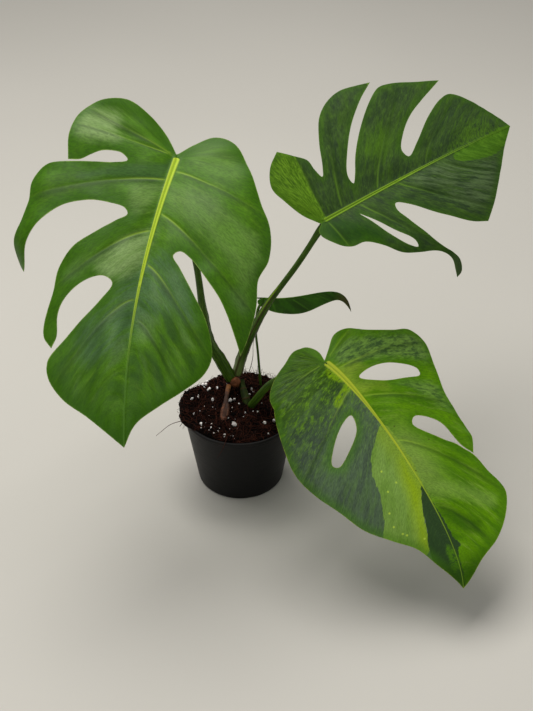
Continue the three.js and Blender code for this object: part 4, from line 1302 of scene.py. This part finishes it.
def make_stem():
    line = spline(table(STEM["path"]), count=STEM_STEPS)

    def ring_at(share):
        return bell(np.sin(share * 21 + 0.6) / 0.16)

    def section(share, angle):
        swelling = STEM["radius"] * (0.85 + 0.15 * np.cos(share * 17))
        return swelling + 0.45 * ring_at(share) + 0.12 * np.sin(5 * angle + 9 * share)

    points, faces, share, _ = tube(line, STEM_SIDES, section)
    middle = line.repeat(STEM_SIDES, 0)
    points = middle + (points - middle) * (1 + 0.07 * lumps(points, 0.35, 3, 4))[:, None]
    knob, knob_faces = ball(22, 32)
    wrinkle = lumps(knob, 2.2, 4, 5)
    dent = -0.18 * bell(np.arccos(np.clip(facing(knob, -0.2, -0.9, 0.35), -1, 1)) / 0.4)
    knob = knob * (1.13 + 0.13 * wrinkle + dent)[:, None] * STEM["knob_radius"] + STEM["knob"]
    faces += [tuple(i + len(points) for i in f) for f in knob_faces]
    attributes = {
        "ring": np.concatenate([ring_at(share), np.zeros(len(knob))]),
        "knob": np.concatenate([np.zeros(len(points)), np.ones(len(knob))]),
    }
    piece = add_piece("main_stem", np.vstack([points, knob]), faces, stem_finish(), attributes)
    dress(piece, "stem", "stem")


def make_root():
    line = spline(table(ROOT["path"]), count=ROOT_STEPS)

    def section(share, _):
        taper = smoothstep((share - 0.46) / 0.26)
        radius = mix(ROOT["foot"] * 1.1, ROOT["top"] * 0.85, taper)
        return radius + 0.2 * np.sin(share * 14)

    points, faces, share, _ = tube(line, ROOT_SIDES, section)
    middle = line.repeat(ROOT_SIDES, 0)
    away = points - middle
    slit = smoothstep((facing(unit(away), 0.15, -0.8, 0.58) - 0.76) / 0.1)
    slit = slit * smoothstep((share - 0.4) / 0.03) * smoothstep((0.66 - share) / 0.06)
    points = middle + away * (1 + (0.1 * lumps(points, 0.5, 3, 6) - 0.3 * slit))[:, None]
    piece = add_piece("air_root", points, faces, root_finish(), {"share": share, "slit": slit})
    dress(piece, "root", "aerial_root")


def make_stalk(name, skin):
    shape = STALKS[name]
    seat = Leaf(LEAVES[name]).at(np.array([0.001]), np.array([3.0]))[0]
    line = spline([*table(shape["path"]), seat], step=STALK_STEP)
    run = np.linalg.norm(np.diff(line, axis=0), axis=1).sum()

    def wing_of(share, angle):
        """The height of the sheath's wings, and how near they are."""
        tall = shape["wing"] * smoothstep((shape["reach"] - share) / 0.2)
        return tall, bell((np.abs(np.pi - angle) - 1.1) / 0.3)

    def section(share, angle):
        radius = mix(shape["foot"], shape["top"], smoothstep(share * 1.6))
        tall, close = wing_of(share, angle)
        ripple = 1 + 0.12 * np.sin(share * run / 5 + angle) + 0.08 * np.sin(share * run / 2.3)
        wings = tall * close * radius * ripple
        knee = 0.16 * bell((share - (1 - 14 / run)) / (9 / run)) * radius
        neck = -0.35 * smoothstep((share - (1 - 3 / run)) / (3 / run)) * radius
        channel = -0.14 * radius * bell((np.pi - angle) / 0.5) * smoothstep((0.98 - share) / 0.1)
        return radius + wings + knee + neck + channel + 0.04 * np.sin(7 * angle)

    points, faces, share, angle = tube(line, STALK_SIDES, section)
    tall, close = wing_of(share, angle)
    rows = points.reshape(len(line), STALK_SIDES, 3)
    away = unit(points - rows.mean(1).repeat(STALK_SIDES, 0))
    turned = facing(away, -0.6, -0.4, 0.7)
    strip = smoothstep((turned - 0.84) / 0.1) * smoothstep((share - 0.36) / 0.05)
    rust = np.maximum(bell((turned - 0.7) / 0.09) * (facing(away, 0.2, -0.8, 0.3) > 0),
                      smoothstep((facing(away, 0.8, -0.2, -0.55) - 0.8) / 0.12))
    marked = name == "upper"
    attributes = {
        "wing": close * np.minimum(1, tall * 3),
        "skin": np.stack([np.cos(angle) * 0.6, share * run / 10, np.sin(angle) * 0.6], 1),
        "strip": strip * smoothstep((0.62 - share) / 0.08) * marked,
        "rust": rust * smoothstep((0.6 - share) / 0.1) * marked,
        "pale": smoothstep((0.16 - share) / 0.12) * marked,
    }
    piece = add_piece("petiole_" + name, points, faces, skin, attributes)
    dress(piece, "stalk", "stalk_" + name)


# Loose roots over the rim, and a thin fibre standing behind the stems.
STRANDS = [
    "-52,-24,91 -63,-28,92 -72,-27,87 -79.5,-27,80 -87,-28,73",
    "-12,-50,89 -14,-59,89.5 -17,-64,84 -22,-66,76",
    "-40,-8,92 -32,-12,96 -22,-13,95 -14,-10,94",
    "9,29,112 12,28,124 13.8,27.5,136 14,27,148 15,26.5,157",
]


def make_fine_roots():
    pile = Pile()
    for strand in STRANDS:
        pile.add_tube(spline(table(strand), count=STRAND_STEPS), 6, 0.45, 0.2, 0.45)
    dress(pile.piece("fine_roots", fibre_finish()), "root")


# The light, the floor and the camera

def add_light(name, place, target, size, power, tint):
    data = bpy.data.lights.new(name, "AREA")
    data.shape = "RECTANGLE"
    data.size, data.size_y = size
    data.energy = power
    data.color = tint
    light = bpy.data.objects.new(name, data)
    light.location = place
    aim = Vector(target) - Vector(place)
    light.rotation_euler = aim.to_track_quat("-Z", "Y").to_euler()
    bpy.context.scene.collection.objects.link(light)


def make_studio():
    scene = bpy.context.scene
    s = Shade("floor_plain", 0.9, 0.1)
    wide = s.noise(s.place(), 1.2, 2)
    material = s.colour(s.blend(wide, 0.3, 0.7, "#bebcb6", "#c2c0ba"))
    corners = FLOOR_REACH * np.array([(-1, -1, 0), (1, -1, 0), (1, 1, 0), (-1, 1, 0)])
    floor = add_piece("floor", corners, [(0, 1, 2, 3)], material)
    scene.world = bpy.data.worlds.new("studio")
    scene.world.use_nodes = True
    background = scene.world.node_tree.nodes["Background"]
    background.inputs["Color"].default_value = SKY["colour"]
    background.inputs["Strength"].default_value = SKY["strength"]
    for name, values in LIGHTS.items():
        add_light(name, *values)
    scene.view_settings.view_transform = "Standard"
    data = bpy.data.cameras.new("camera")
    data.lens = CAMERA["lens"]
    data.sensor_width = CAMERA["sensor"]
    camera = bpy.data.objects.new("camera", data)
    camera.location = CAMERA["place"]
    camera.rotation_euler = (math.radians(90 - CAMERA["down"]), 0, 0)
    scene.collection.objects.link(camera)
    scene.camera = camera


LEAF_FINISH = {"left": left_finish, "upper": upper_finish, "lower": lower_finish,
               "young": young_finish}

make_studio()
make_pot()
make_soil()
make_litter()
make_stem()
make_root()
stalk_skin = stalk_finish()
for name in STALKS:
    make_stalk(name, stalk_skin)
make_fine_roots()
for name, step, slot in (("left", LEAF_STEP, "leaf_green"), ("upper", LEAF_STEP, "leaf_streaked"),
                         ("lower", LEAF_STEP, "leaf_variegated"),
                         ("young", YOUNG_LEAF_STEP, "leaf_dark")):
    dress(make_leaf(name, step), slot, "leaf_" + name)
